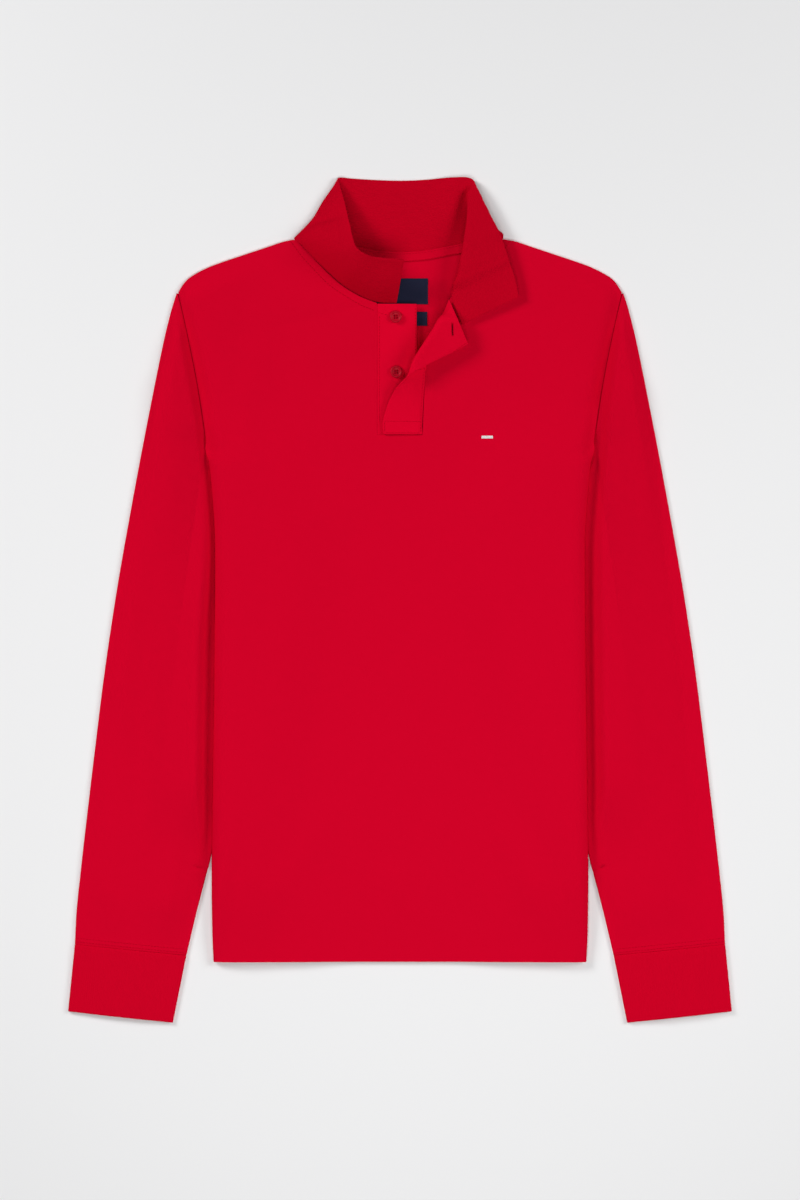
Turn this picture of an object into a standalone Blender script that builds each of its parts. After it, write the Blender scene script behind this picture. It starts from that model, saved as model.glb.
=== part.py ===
"""A long-sleeve polo shirt laid flat on a surface, face up, at its real size.

Frame: +X to the right as the shirt is looked at from above, +Y towards the collar, +Z up, with
the origin under the middle of the shirt at the height of the surface it lies on. The cloth is
built as single walls. Lengths in the constants and tables are millimetres; MM turns them into
metres where a mesh is made.

Layers, from the surface up: sleeves, then the turned-under sides of the body, back and front.
"""

import math

import bmesh
import bpy
import numpy as np

MM = 0.001

# Cloth and the room between two layers of it
CLOTH = 1.2
RIB = 1.6
TAPE = 0.8
LABEL = 0.6
GAP = 0.3
LAYER = CLOTH + GAP

# Body
HEM_Y = -361.4
SLIT_Y = 165.0
SLIT_X = 22.5
FOLD_R = 1.5 * LAYER
BACK_FOLD_R = 0.5 * LAYER
FOLD_ROOM = CLOTH / 2 + FOLD_R
TURN = 66.0
TURN_STARTS_Y = 136.0
BACK_TURN_STARTS_Y = 123.0
TURN_FULL_Y = 75.0
STRIPS_START_Y = 152.0
STRIP_MARGIN = 4.0
STRIP_RAMP = 12.0
FRONT_RAMP = 70.0
FRONT_START_Y = 200.0
BRIDGE_EDGE = 45.0
FULLNESS = 2.2
FULLNESS_ENDS_X = 170.0
FULLNESS_RAMP = 110.0
HEM_SHARE = 0.35
HEM_RAMP = 90.0
SHOULDER_RAMP = 50.0
# Rises of the front beside the opening: height, middle x, y, half width, half length
NECK_LIFT = (4.0, -25.0, 298.0, 55.0, 45.0)
LAPEL_LIFT = (4.5, 51.0, 303.0, 13.0, 26.0)

# Sleeves, where they pass under the body
ARMPIT = (115.0, 75.0)
SLEEVE_MEETS_EDGE = (189.0, -256.0)
ARMHOLE_TURNS = (190.4, 150.0)
SLEEVE_LIFT = 2 * LAYER
LIFT_MARGIN = 14.0
LIFT_RAMP = 22.0
SLEEVE_GAP = 0.4
SLEEVE_FULLNESS = 3.2
SLEEVE_FULL_FROM = 8.0
SLEEVE_FULL_RAMP = 45.0
CUFF_FULLNESS = 1.6
EDGE_RAMP = 35.0
SEAM_RAMP_X = 60.0
SEAM_RAMP_Y = 25.0
OUTER_RAMP = 12.0

# How far a strip that turns back on itself keeps from its own lower half
ROLL_ROOM = 4.0

# Small pieces
BUTTON_R = 6.0
BUTTON_H = 2.6
BUTTON_HOLE_R = 0.9
BUTTON_HOLE_OFFSET = 1.6
BUTTON_STEPS = 20
BUTTON_TURN = 0.28 * math.pi
BUTTONS = {"button_1": (-4.2, 282.5), "button_2": (-3.7, 227.8)}
LABELS = {"label_main": (-28.0, 28.0, 295.5, 321.4), "label_size": (16.0, 27.3, 274.0, 288.0)}
TAPE_HALF = 62.0
TAPE_WIDTH = 8.5

# Side of the body from the hem to the shoulder point: x, y
SIDE = (
    (186.2, -361.4), (187.4, -330.0), (188.0, -270.0), (187.0, -200.0), (186.0, -120.0),
    (185.0, -40.0), (184.5, 40.0), (185.5, 80.0), (191.0, 141.0), (201.4, 211.0),
    (212.0, 265.0), (221.5, 307.5),
)
# Shoulder line from the neck to the shoulder point: x, y
SHOULDER = (
    (103.4, 360.4), (116.0, 358.0), (134.0, 352.0), (152.0, 346.0), (170.0, 340.0),
    (187.0, 334.0), (200.0, 328.0), (210.0, 322.0), (216.0, 316.0), (221.5, 307.5),
)
# Front neckline from the placket to the shoulder, worn right side and worn left side: x, y
NECK_LEFT = (
    (22.5, 296.0), (39.1, 302.3), (57.0, 313.0), (70.4, 324.6), (85.5, 339.8),
    (97.1, 352.3), (103.4, 360.4),
)
NECK_RIGHT = (
    (50.3, 301.0), (59.0, 314.0), (70.4, 324.6), (85.5, 339.8), (97.1, 352.3), (103.4, 360.4),
)
# Edge of the front opening under each placket, upward: x, y
SLIT_LEFT = ((22.5, 165.0), (22.5, 230.0), (22.5, 296.0))
SLIT_RIGHT = ((22.5, 165.0), (24.0, 200.0), (26.0, 231.5), (33.0, 256.0), (41.0, 278.0), (50.3, 301.0))
# Back neckline from the middle to the shoulder: x, y
NECK_BACK = ((0.0, 346.0), (25.0, 347.8), (50.0, 352.6), (80.0, 357.6), (103.4, 360.4))
# Sleeve edges, upward from the cuff seam: x, y
SLEEVE_OUTER = (
    (324.9, -343.7), (323.2, -310.0), (319.0, -270.0), (314.5, -230.0), (305.0, -150.0),
    (295.0, -70.0), (283.0, 10.0), (269.0, 90.0), (254.0, 170.0), (238.0, 250.0),
    (229.5, 286.0), (223.4, 306.0),
)
SLEEVE_INNER = (
    (213.5, -354.8), (203.1, -311.2), (192.7, -271.2), (188.9, -256.6), (152.0, -90.5), (115.0, 75.0),
)
CUFF_OUTER = ((331.6, -411.0), (324.9, -344.0))
CUFF_INNER = ((227.0, -422.3), (213.5, -355.1))

# Collar, round the neck from its end on the folded-out side to its end on the standing side.
# Each section has its seam, the place where it turns over or bends, its free edge, and how far
# from the turn the bend is spread: seam x, y, z, turn x, y, z, free x, y, z, spread
COLLAR = (
    (61.7, 274.3, 9.0, 90.0, 288.4, 9.5, 118.0, 302.0, 10.5, 9.0),
    (56.2, 288.2, 11.0, 84.0, 298.5, 11.5, 115.4, 316.5, 11.2, 9.0),
    (51.6, 302.4, 12.0, 74.0, 313.0, 13.6, 111.0, 331.0, 11.6, 9.0),
    (54.0, 311.6, 8.4, 54.6, 316.0, 15.0, 108.0, 340.5, 11.8, 7.0),
    (61.5, 318.6, 4.2, 55.6, 325.5, 15.6, 105.6, 347.5, 11.8, 7.0),
    (69.3, 325.7, 3.6, 57.4, 337.0, 15.8, 103.0, 356.0, 11.6, 7.0),
    (84.4, 340.9, 3.4, 60.6, 359.0, 15.6, 97.4, 369.4, 11.6, 7.0),
    (96.0, 353.3, 3.4, 62.8, 377.0, 14.8, 90.4, 382.6, 11.4, 7.0),
    (102.8, 365.0, 3.0, 64.4, 392.0, 12.8, 83.6, 396.6, 10.8, 6.0),
    (93.0, 361.0, 0.8, 65.6, 406.0, 9.4, 77.4, 409.8, 9.4, 5.0),
    (74.0, 357.4, 0.8, 65.5, 404.0, 2.4, 70.6, 421.0, 5.6, 5.0),
    (50.0, 353.1, 0.8, 50.0, 388.0, 0.8, 52.0, 422.0, 0.8, 9.0),
    (25.0, 348.3, 0.8, 25.5, 384.0, 0.8, 26.5, 420.0, 0.8, 9.0),
    (0.0, 346.5, 0.8, 0.5, 383.0, 0.8, 1.5, 419.0, 0.8, 9.0),
    (-25.0, 348.3, 0.8, -25.0, 384.0, 0.8, -26.0, 419.8, 0.8, 9.0),
    (-50.0, 353.1, 0.8, -50.0, 388.0, 0.8, -48.0, 421.2, 0.8, 9.0),
    (-70.0, 356.7, 0.8, -66.9, 404.0, 1.6, -60.6, 421.8, 3.4, 9.0),
    (-84.0, 358.8, 0.8, -75.8, 401.0, 3.4, -60.4, 415.0, 6.2, 9.0),
    (-96.0, 360.2, 0.8, -85.4, 384.4, 4.6, -57.0, 403.0, 10.0, 10.0),
    (-103.4, 362.0, 2.0, -93.2, 372.8, 6.4, -53.4, 388.0, 17.0, 12.0),
    (-102.2, 360.2, 3.8, -84.0, 372.0, 14.0, -50.2, 374.0, 25.0, 14.0),
    (-96.2, 353.3, 4.6, -78.0, 361.0, 21.0, -47.0, 359.5, 32.0, 15.0),
    (-84.5, 341.0, 5.2, -69.0, 348.0, 25.0, -43.2, 348.6, 37.0, 15.0),
    (-69.4, 325.8, 6.0, -57.5, 334.6, 26.0, -35.6, 342.0, 40.0, 15.0),
    (-56.2, 314.3, 6.6, -47.0, 324.5, 26.0, -27.4, 338.6, 41.0, 15.0),
    (-38.5, 303.6, 7.0, -31.8, 316.4, 25.0, -18.0, 337.4, 41.0, 15.0),
    (-21.6, 297.6, 7.0, -16.6, 311.0, 24.0, -9.0, 337.0, 40.0, 15.0),
    (-3.4, 297.0, 6.4, -0.6, 311.0, 22.0, 4.0, 336.0, 37.0, 15.0),
)

# Upper placket from its sewn bottom to the neck: seam x, y, rise of the seam, turn x, y, rise of
# the turn, free edge x, y, rise, spread of the bend. A rise is over the front's own level.
PLACKET_TOP = (
    (22.2, 165.3, 0.0, 17.6, 165.3, 1.6, -16.6, 165.3, 1.6, 0.8),
    (22.2, 177.0, 0.0, 17.6, 177.0, 1.7, -17.4, 177.0, 1.7, 0.8),
    (23.0, 193.0, 0.0, 14.0, 192.8, 3.6, -13.3, 192.7, 3.2, 6.0),
    (23.5, 204.0, 0.0, 11.0, 203.4, 6.0, -8.7, 203.0, 6.0, 8.0),
    (24.3, 215.0, 0.0, 10.0, 213.6, 8.4, -3.2, 212.0, 9.4, 8.0),
    (25.0, 226.0, 0.0, 10.5, 225.5, 9.6, 4.6, 219.0, 12.0, 4.0),
    (26.6, 236.5, 0.0, 11.4, 237.0, 13.0, 12.5, 225.4, 15.4, 5.0),
    (29.4, 246.4, 0.0, 17.2, 247.5, 15.2, 20.0, 229.7, 14.4, 5.0),
    (32.6, 256.6, 0.2, 23.4, 255.8, 15.8, 28.6, 234.6, 13.4, 5.0),
    (37.6, 270.5, 0.4, 32.4, 268.6, 15.4, 43.0, 241.8, 12.2, 5.0),
    (43.6, 285.5, 0.8, 41.2, 279.6, 14.0, 57.2, 248.8, 10.8, 5.0),
    (48.9, 299.3, 3.4, 58.4, 276.6, 9.6, 67.8, 254.7, 9.6, 5.0),
)

COLOURS = {
    "jersey": ((0.68, 0.001, 0.018), 0.85),
    "rib": ((0.50, 0.001, 0.012), 0.85),
    "button": ((0.42, 0.004, 0.02), 0.35),
    "label": ((0.012, 0.016, 0.04), 0.7),
}


def smoothstep(t):
    t = min(1.0, max(0.0, t))
    return t * t * (3.0 - 2.0 * t)


def smoothed(points, steps=8):
    """Points along a smooth curve through the given ones."""
    p = np.array(points, dtype=float)
    p = np.vstack([2 * p[0] - p[1], p, 2 * p[-1] - p[-2]])
    line = []
    for i in range(1, len(p) - 2):
        for k in range(steps):
            t = k / steps
            a, b, c, d = p[i - 1], p[i], p[i + 1], p[i + 2]
            line.append(
                0.5 * (2 * b + (c - a) * t + (2 * a - 5 * b + 4 * c - d) * t * t
                       + (3 * b - a - 3 * c + d) * t ** 3)
            )
    line.append(p[-2])
    return np.array(line)


class Path:
    """A smooth line read by the fraction of its length, or by its y."""

    def __init__(self, *pieces):
        self.line = np.vstack([smoothed(piece) for piece in pieces])
        steps = np.linalg.norm(np.diff(self.line, axis=0), axis=1)
        self.run = np.concatenate([[0.0], np.cumsum(steps)])
        self.length = self.run[-1]

    def at(self, fraction):
        place = fraction * self.length
        return np.array([np.interp(place, self.run, self.line[:, k]) for k in (0, 1)])

    def square_to(self, fraction):
        """Unit vector to the right of the way the line runs."""
        near = self.at(min(1.0, fraction + 0.01)) - self.at(max(0.0, fraction - 0.01))
        near = near / np.linalg.norm(near)
        return np.array([near[1], -near[0]])

    def x_at(self, y):
        return float(np.interp(y, self.line[:, 1], self.line[:, 0]))


SIDE_PATH = Path(SIDE)


def left_of(x, y, start, end):
    """How far a point lies to the left of the line from start to end."""
    along = np.array(end) - np.array(start)
    along = along / np.linalg.norm(along)
    return float((y - start[1]) * along[0] - (x - start[0]) * along[1])


def sleeve_rise(x, y, ramp=LIFT_RAMP):
    """Rise of the body over the sleeve that runs under it."""
    away = max(
        -left_of(abs(x), y, ARMPIT, SLEEVE_MEETS_EDGE),
        left_of(abs(x), y, ARMPIT, ARMHOLE_TURNS),
    )
    return SLEEVE_LIFT * smoothstep((LIFT_MARGIN + ramp - away) / ramp)


def folded(y):
    """1 where the side is a fold, 0 where it is the armhole seam."""
    return smoothstep((STRIPS_START_Y - y) / (STRIPS_START_Y - TURN_STARTS_Y))


def fold_x(y):
    """Where a panel ends or starts to turn under."""
    return SIDE_PATH.x_at(y) - FOLD_ROOM * folded(y)


def strips_rise(x, y, ramp=STRIP_RAMP, start_y=STRIPS_START_Y):
    """Rise of the body over the two turned-under strips."""
    inward = fold_x(y) - abs(x)
    reach = smoothstep((TURN + STRIP_MARGIN + ramp - inward) / ramp)
    return 2 * LAYER * smoothstep((start_y - y) / (start_y - TURN_STARTS_Y)) * reach


def back_level(x, y):
    """Middle of the back's wall."""
    return CLOTH / 2 + sleeve_rise(x, y) + strips_rise(x, y)


def front_base(x, y):
    """Middle of the front's wall without its fullness, bridging the steps that lie below it."""
    bridge = sleeve_rise(x, y, FRONT_RAMP) - sleeve_rise(x, y)
    bridge += strips_rise(x, y, FRONT_RAMP, FRONT_START_Y) - strips_rise(x, y)
    return back_level(x, y) + LAYER + bridge * smoothstep((fold_x(y) - abs(x)) / BRIDGE_EDGE)


def shoulder_y(x):
    return float(np.interp(abs(x), [p[0] for p in SHOULDER], [p[1] for p in SHOULDER]))


def lift(x, y, height, middle_x, middle_y, half_width, half_length):
    """A soft rounded rise."""
    return height * math.exp(
        -(((x - middle_x) / half_width) ** 2) - ((y - middle_y) / half_length) ** 2
    )


def front_level(x, y):
    """Middle of the front's wall, with a little fullness over the back."""
    sides = smoothstep((FULLNESS_ENDS_X - abs(x)) / FULLNESS_RAMP)
    hem = HEM_SHARE + (1 - HEM_SHARE) * smoothstep((y - HEM_Y) / HEM_RAMP)
    top = smoothstep((shoulder_y(x) - y) / SHOULDER_RAMP)
    fullness = FULLNESS * sides * hem * top + lift(x, y, *NECK_LIFT) + lift(x, y, *LAPEL_LIFT)
    return front_base(x, y) + fullness


def patch(bottom, top, inner, outer, u, v):
    """Point of the surface between four lines: u runs from inner to outer, v from bottom to top."""
    corners = (
        (1 - u) * (1 - v) * bottom(0.0) + u * (1 - v) * bottom(1.0)
        + (1 - u) * v * top(0.0) + u * v * top(1.0)
    )
    return (1 - v) * bottom(u) + v * top(u) + (1 - u) * inner(v) + u * outer(v) - corners


# Rows of the body below the opening, and how far in from the side each column lies
LOWER_ROWS = (
    HEM_Y, -340.0, -300.0, -256.0, -205.0, -150.0, -95.0, -40.0, 10.0, 48.0, 75.0,
    88.0, 100.0, 110.0, 118.0, 123.0, 127.0, 131.0, 136.0, 144.0, 152.0, SLIT_Y,
)
SIDE_COLUMNS = (0.0, 18.0, 35.0, 51.0, TURN, TURN + STRIP_MARGIN, TURN + STRIP_MARGIN + STRIP_RAMP)
STRIP_COLUMNS = SIDE_COLUMNS[1:5]
MIDDLE_COLUMNS = (0.0, SLIT_X, 50.0, 78.0)
UPPER_ROWS = 9
ARC_STEPS = 4


def row_columns(y):
    """Distances from the middle of the columns of one row."""
    end = fold_x(y)
    return list(MIDDLE_COLUMNS) + [end - inward for inward in reversed(SIDE_COLUMNS)]


def turned_row(y, above_back, radius, start_y, side):
    """Points of one row past the side: round the fold, then inward under the body."""
    arc = math.pi * radius
    reach = (TURN + arc) * smoothstep((start_y - y) / (start_y - TURN_FULL_Y))
    lengths = [arc * (k + 1) / ARC_STEPS for k in range(ARC_STEPS)]
    lengths += [arc + inward for inward in STRIP_COLUMNS]
    points = []
    for length in lengths:
        length = min(length, reach)
        angle = min(length, arc) / radius
        x = fold_x(y) + radius * math.sin(angle) - max(0.0, length - arc)
        over = side * min(x, fold_x(y))
        drop = radius * (1 - math.cos(angle))
        points.append((side * x, y, back_level(over, y) + above_back - drop))
    return points


class Sheet:
    """Grid of points in rows, joined into an open surface."""

    def __init__(self):
        self.mesh = bmesh.new()

    def grid(self, rows, closed=False, flip=False, turned_from=None):
        """Triangles between the rows; past a fold their diagonals match those of the layer above."""
        verts = [[self.mesh.verts.new([c * MM for c in p]) for p in row] for row in rows]
        count = len(verts[0])
        for low, high in zip(verts, verts[1:]):
            for k in range(count if closed else count - 1):
                n = (k + 1) % count
                if turned_from is not None and k >= turned_from:
                    faces = ([low[k], low[n], high[k]], [low[n], high[n], high[k]])
                else:
                    faces = ([low[k], low[n], high[n]], [low[k], high[n], high[k]])
                for face in faces:
                    self.mesh.faces.new(reversed(face) if flip else face)

    def finish(self, name, material, thickness, offset=0.0):
        """Welds the grids, gives the surface its thickness and its material."""
        bmesh.ops.remove_doubles(self.mesh, verts=self.mesh.verts, dist=1e-6)
        mesh = bpy.data.meshes.new(name)
        self.mesh.to_mesh(mesh)
        self.mesh.free()
        piece = bpy.data.objects.new(name, mesh)
        SHIRT.objects.link(piece)
        wall = piece.modifiers.new("wall", "SOLIDIFY")
        wall.thickness = thickness * MM
        wall.offset = offset
        wall.use_quality_normals = True
        mesh.materials.append(material)
        mesh.shade_smooth()
        return piece


def collection(name):
    made = bpy.data.collections.new(name)
    bpy.context.scene.collection.children.link(made)
    return made


def material(name):
    colour, roughness = COLOURS[name]
    made = bpy.data.materials.new(name)
    made.use_nodes = True
    shader = made.node_tree.nodes["Principled BSDF"]
    shader.inputs["Base Color"].default_value = (*colour, 1.0)
    shader.inputs["Roughness"].default_value = roughness
    shader.inputs["Metallic"].default_value = 0.0
    return made


def body_panel(name, level, above_back, fold_radius, turn_starts, inner_paths, top_path, first):
    """The front or the back: both halves, with their sides turned under."""
    sheet = Sheet()
    for side in (-1, 1):
        rows = []
        for y in LOWER_ROWS:
            columns = row_columns(y)
            row = [(side * x, y, level(side * x, y)) for x in columns]
            rows.append(row + turned_row(y, above_back, fold_radius, turn_starts, side))
        sheet.grid(rows, flip=side < 0, turned_from=len(row_columns(SLIT_Y)) - 1)

        inner = inner_paths[side]
        start = row_columns(SLIT_Y)[first:]
        shares = [(x - start[0]) / (start[-1] - start[0]) for x in start]
        lower_edge = lambda u: np.array([start[0] + u * (start[-1] - start[0]), SLIT_Y])
        armhole = lambda v: np.array(
            [fold_x(SLIT_Y + v * (SIDE[-1][1] - SLIT_Y)), SLIT_Y + v * (SIDE[-1][1] - SLIT_Y)]
        )
        rows = []
        for k in range(UPPER_ROWS + 1):
            v = k / UPPER_ROWS
            plan = [patch(lower_edge, top_path, inner.at, armhole, u, v) for u in shares]
            rows.append([(side * x, y, level(side * x, y)) for x, y in plan])
        sheet.grid(rows, flip=side < 0)
    return sheet.finish(name, MATERIALS["jersey"], CLOTH)


def front():
    inner = {-1: Path(SLIT_LEFT, NECK_LEFT), 1: Path(SLIT_RIGHT, NECK_RIGHT)}
    return body_panel(
        "front", front_level, LAYER, FOLD_R, TURN_STARTS_Y, inner, Path(SHOULDER).at, 1
    )


def back():
    middle = Path(((0.0, SLIT_Y), (0.0, 250.0), (0.0, NECK_BACK[0][1])))
    neck, shoulder = Path(NECK_BACK), Path(SHOULDER)
    start = row_columns(SLIT_Y)
    corner = min(start, key=lambda x: abs(x - NECK_BACK[-1][0])) / start[-1]

    def top(u):
        return neck.at(u / corner) if u < corner else shoulder.at((u - corner) / (1 - corner))

    return body_panel(
        "back", back_level, 0.0, BACK_FOLD_R, BACK_TURN_STARTS_Y,
        {-1: middle, 1: middle}, top, 0
    )


def ring(outer, inner, side, wall, fullness, columns=8, turn=3):
    """One ring of a flattened sleeve, from its outer fold over the top and back underneath."""
    radius = (wall + GAP) / 2
    outer, inner = np.array(outer), np.array(inner)
    across = (inner - outer) / np.linalg.norm(inner - outer)
    first = outer + across * (wall / 2 + radius)
    last = inner - across * (wall / 2 + radius)
    width = np.linalg.norm(last - first)
    low = wall / 2
    points = []
    for k in range(columns + 1):
        u = k / columns
        x, y = first + (last - first) * u
        points.append((side * x, y, low + 2 * radius + fullness(x, y, u * width, (1 - u) * width)))
    for k in range(turn):
        angle = math.pi * (k + 1) / (turn + 1)
        x, y = last + across * radius * math.sin(angle)
        points.append((side * x, y, low + radius * (1 + math.cos(angle))))
    for k in range(columns + 1):
        x, y = last + (first - last) * k / columns
        points.append((side * x, y, low))
    for k in range(turn):
        angle = math.pi * (k + 1) / (turn + 1)
        x, y = first - across * radius * math.sin(angle)
        points.append((side * x, y, low + radius * (1 - math.cos(angle))))
    return points


def sleeve_fullness(x, y, from_outer, from_inner):
    """Rise of the sleeve's upper layer: its own fullness, and the front's level at the seam."""
    past_side = x - SIDE_PATH.x_at(y)
    edges = smoothstep(from_outer / EDGE_RAMP) * smoothstep(from_inner / EDGE_RAMP)
    own = SLEEVE_FULLNESS * smoothstep((past_side - SLEEVE_FULL_FROM) / SLEEVE_FULL_RAMP) * edges
    at_seam = smoothstep((y - STRIPS_START_Y) / SEAM_RAMP_Y) * smoothstep(1 - past_side / SEAM_RAMP_X)
    return own + sleeve_rise(x, y) * at_seam * smoothstep(from_outer / OUTER_RAMP)


def cuff_fullness(x, y, from_outer, from_inner):
    """Rise of the cuff's upper layer, the same along its length."""
    return CUFF_FULLNESS * smoothstep(from_outer / EDGE_RAMP) * smoothstep(from_inner / EDGE_RAMP)


SLEEVE_RINGS = 15
SLEEVE_COLUMNS = 8
END_CORNER = 5 / SLEEVE_COLUMNS
ROUND_STEPS = (0.25, 0.5, 0.75)
CUFF_RINGS = 3


def sleeve(name, side):
    """A flattened tube from the cuff to the armhole, its upper end cut along the armhole."""
    sheet = Sheet()
    outer, inner = Path(SLEEVE_OUTER), Path(SLEEVE_INNER)
    armhole_ys = np.linspace(SLEEVE_OUTER[-1][1] - GAP, ARMHOLE_TURNS[1], 12)
    armhole = [(SIDE_PATH.x_at(y) + SLEEVE_GAP, y) for y in armhole_ys]
    seam = Path(armhole)

    def end_at(u):
        if u < END_CORNER:
            return seam.at(u / END_CORNER)
        past = (u - END_CORNER) / (1 - END_CORNER)
        return np.array(armhole[-1]) * (1 - past) + np.array(ARMPIT) * past

    def cuff_at(u):
        return np.array(SLEEVE_OUTER[0]) * (1 - u) + np.array(SLEEVE_INNER[0]) * u

    radius = (CLOTH + GAP) / 2
    inset = CLOTH / 2 + radius

    def outer_fold(v):
        return outer.at(v) - outer.square_to(v) * inset

    def inner_fold(v):
        return inner.at(v) + inner.square_to(v) * inset

    rows = []
    for k in range(SLEEVE_RINGS + 1):
        v = k / SLEEVE_RINGS
        shares = [c / SLEEVE_COLUMNS for c in range(SLEEVE_COLUMNS + 1)]
        plan = [patch(cuff_at, end_at, outer_fold, inner_fold, u, v) for u in shares]
        width = np.linalg.norm(plan[-1] - plan[0])
        out_way = outer.square_to(v)
        in_way = -inner.square_to(v)
        low = CLOTH / 2
        points = []
        for c, (x, y) in enumerate(plan):
            run = width * shares[c]
            points.append((x, y, low + 2 * radius + sleeve_fullness(x, y, run, width - run)))
        for t in ROUND_STEPS:
            x, y = plan[-1] + in_way * radius * math.sin(math.pi * t)
            points.append((x, y, low + radius * (1 + math.cos(math.pi * t))))
        points += [(x, y, low) for x, y in reversed(plan)]
        for t in ROUND_STEPS:
            x, y = plan[0] + out_way * radius * math.sin(math.pi * t)
            points.append((x, y, low + radius * (1 - math.cos(math.pi * t))))
        rows.append([(side * x, y, z) for x, y, z in points])
    sheet.grid(rows, closed=True, flip=side > 0)
    return sheet.finish(name, MATERIALS["jersey"], CLOTH)


def cuff(name, side):
    sheet = Sheet()
    rows = []
    for k in range(CUFF_RINGS + 1):
        v = k / CUFF_RINGS
        outer = np.array(CUFF_OUTER[0]) * (1 - v) + np.array(CUFF_OUTER[1]) * v
        inner = np.array(CUFF_INNER[0]) * (1 - v) + np.array(CUFF_INNER[1]) * v
        rows.append(ring(outer, inner, side, RIB, cuff_fullness))
    sheet.grid(rows, closed=True, flip=side > 0)
    return sheet.finish(name, MATERIALS["rib"], RIB)


def section(seam, turn, free, spread, arc_steps=4, far_steps=2):
    """A strip's cut: straight from the seam, rounded at the turn, straight to the free edge."""
    seam, turn, free = (np.array(p, dtype=float) for p in (seam, turn, free))
    to_seam, to_free = seam - turn, free - turn
    seam_run, free_run = np.linalg.norm(to_seam), np.linalg.norm(to_free)
    near = turn + to_seam * min(0.9, spread / seam_run)
    far = turn + to_free * min(0.9, spread / free_run)
    near[2] -= ROLL_ROOM * max(0.0, float(np.dot(to_seam, to_free)) / (seam_run * free_run))
    points = [seam]
    for k in range(arc_steps + 1):
        t = k / arc_steps
        points.append((1 - t) ** 2 * near + 2 * t * (1 - t) * turn + t * t * far)
    for k in range(far_steps):
        points.append(far + (free - far) * (k + 1) / far_steps)
    return points


def clear_of_front(point, wall):
    """Raises a point that would lie in the front on the folded-out side."""
    x, y, z = point
    floor = front_level(x, y) + CLOTH / 2 + GAP + wall / 2
    return (x, y, max(z, floor))


# The folded-out leaf: where its free edge, its turn and its own points lie
LEAF_FREE_X = 98.4
LEAF_TURN_X = 70.0
LEAF_X = 60.0


def collar():
    sheet = Sheet()
    rows = []
    for row in COLLAR:
        points = section(row[0:3], row[3:6], row[6:9], row[9])
        if row[6] > LEAF_FREE_X or row[3] > LEAF_TURN_X:
            points = [clear_of_front(p, RIB) if p[0] > LEAF_X and k > 2 else tuple(p)
                      for k, p in enumerate(points)]
        rows.append([tuple(p) for p in points])
    sheet.grid(rows)
    return sheet.finish("collar", MATERIALS["rib"], RIB)


def placket_top():
    sheet = Sheet()
    rows = []
    for sx, sy, s_rise, tx, ty, t_rise, fx, fy, f_rise, spread in PLACKET_TOP:
        seam = (sx - GAP, sy, front_level(sx, sy) + s_rise)
        turn = (tx, ty, front_level(sx, sy) + t_rise)
        free = (fx, fy, front_level(fx, fy) + f_rise)
        rows.append([tuple(p) for p in section(seam, turn, free, spread)])
    sheet.grid(rows, flip=True)
    return sheet.finish("placket_top", MATERIALS["jersey"], CLOTH)


UNDER_X = (-SLIT_X + GAP, -9.0, 4.0, 16.6)
UNDER_Y = (SLIT_Y + GAP, 180.0, 200.0, 222.0, 245.0, 265.0, 282.0, 295.5)


def placket_under():
    sheet = Sheet()
    sheet.grid([[(x, y, front_level(x, y)) for x in UNDER_X] for y in UNDER_Y])
    return sheet.finish("placket_under", MATERIALS["jersey"], CLOTH)


NECK_TAPE_IN = 0.6


def flat_strip(name, xs, ys, wall, slot, top=None):
    """A thin piece on the inside of the back, made from the back's own points."""
    sheet = Sheet()
    rows = []
    for k, y in enumerate(ys):
        row = []
        for x in xs:
            py = y if top is None else top(x) - (len(ys) - 1 - k) * (ys[1] - ys[0])
            row.append((x, py, back_level(x, py) + CLOTH / 2 + GAP + wall / 2))
        rows.append(row)
    sheet.grid(rows)
    return sheet.finish(name, MATERIALS[slot], wall)


def neck_tape():
    neck = Path(NECK_BACK).line
    xs = np.linspace(-TAPE_HALF, TAPE_HALF, 11)
    top = lambda x: float(np.interp(abs(x), neck[:, 0], neck[:, 1])) - NECK_TAPE_IN
    return flat_strip("neck_tape", xs, (0.0, TAPE_WIDTH), TAPE, "jersey", top)


def labels():
    for name, (x0, x1, y0, y1) in LABELS.items():
        flat_strip(name, (x0, x1), (y0, y1), LABEL, "label")


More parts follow.
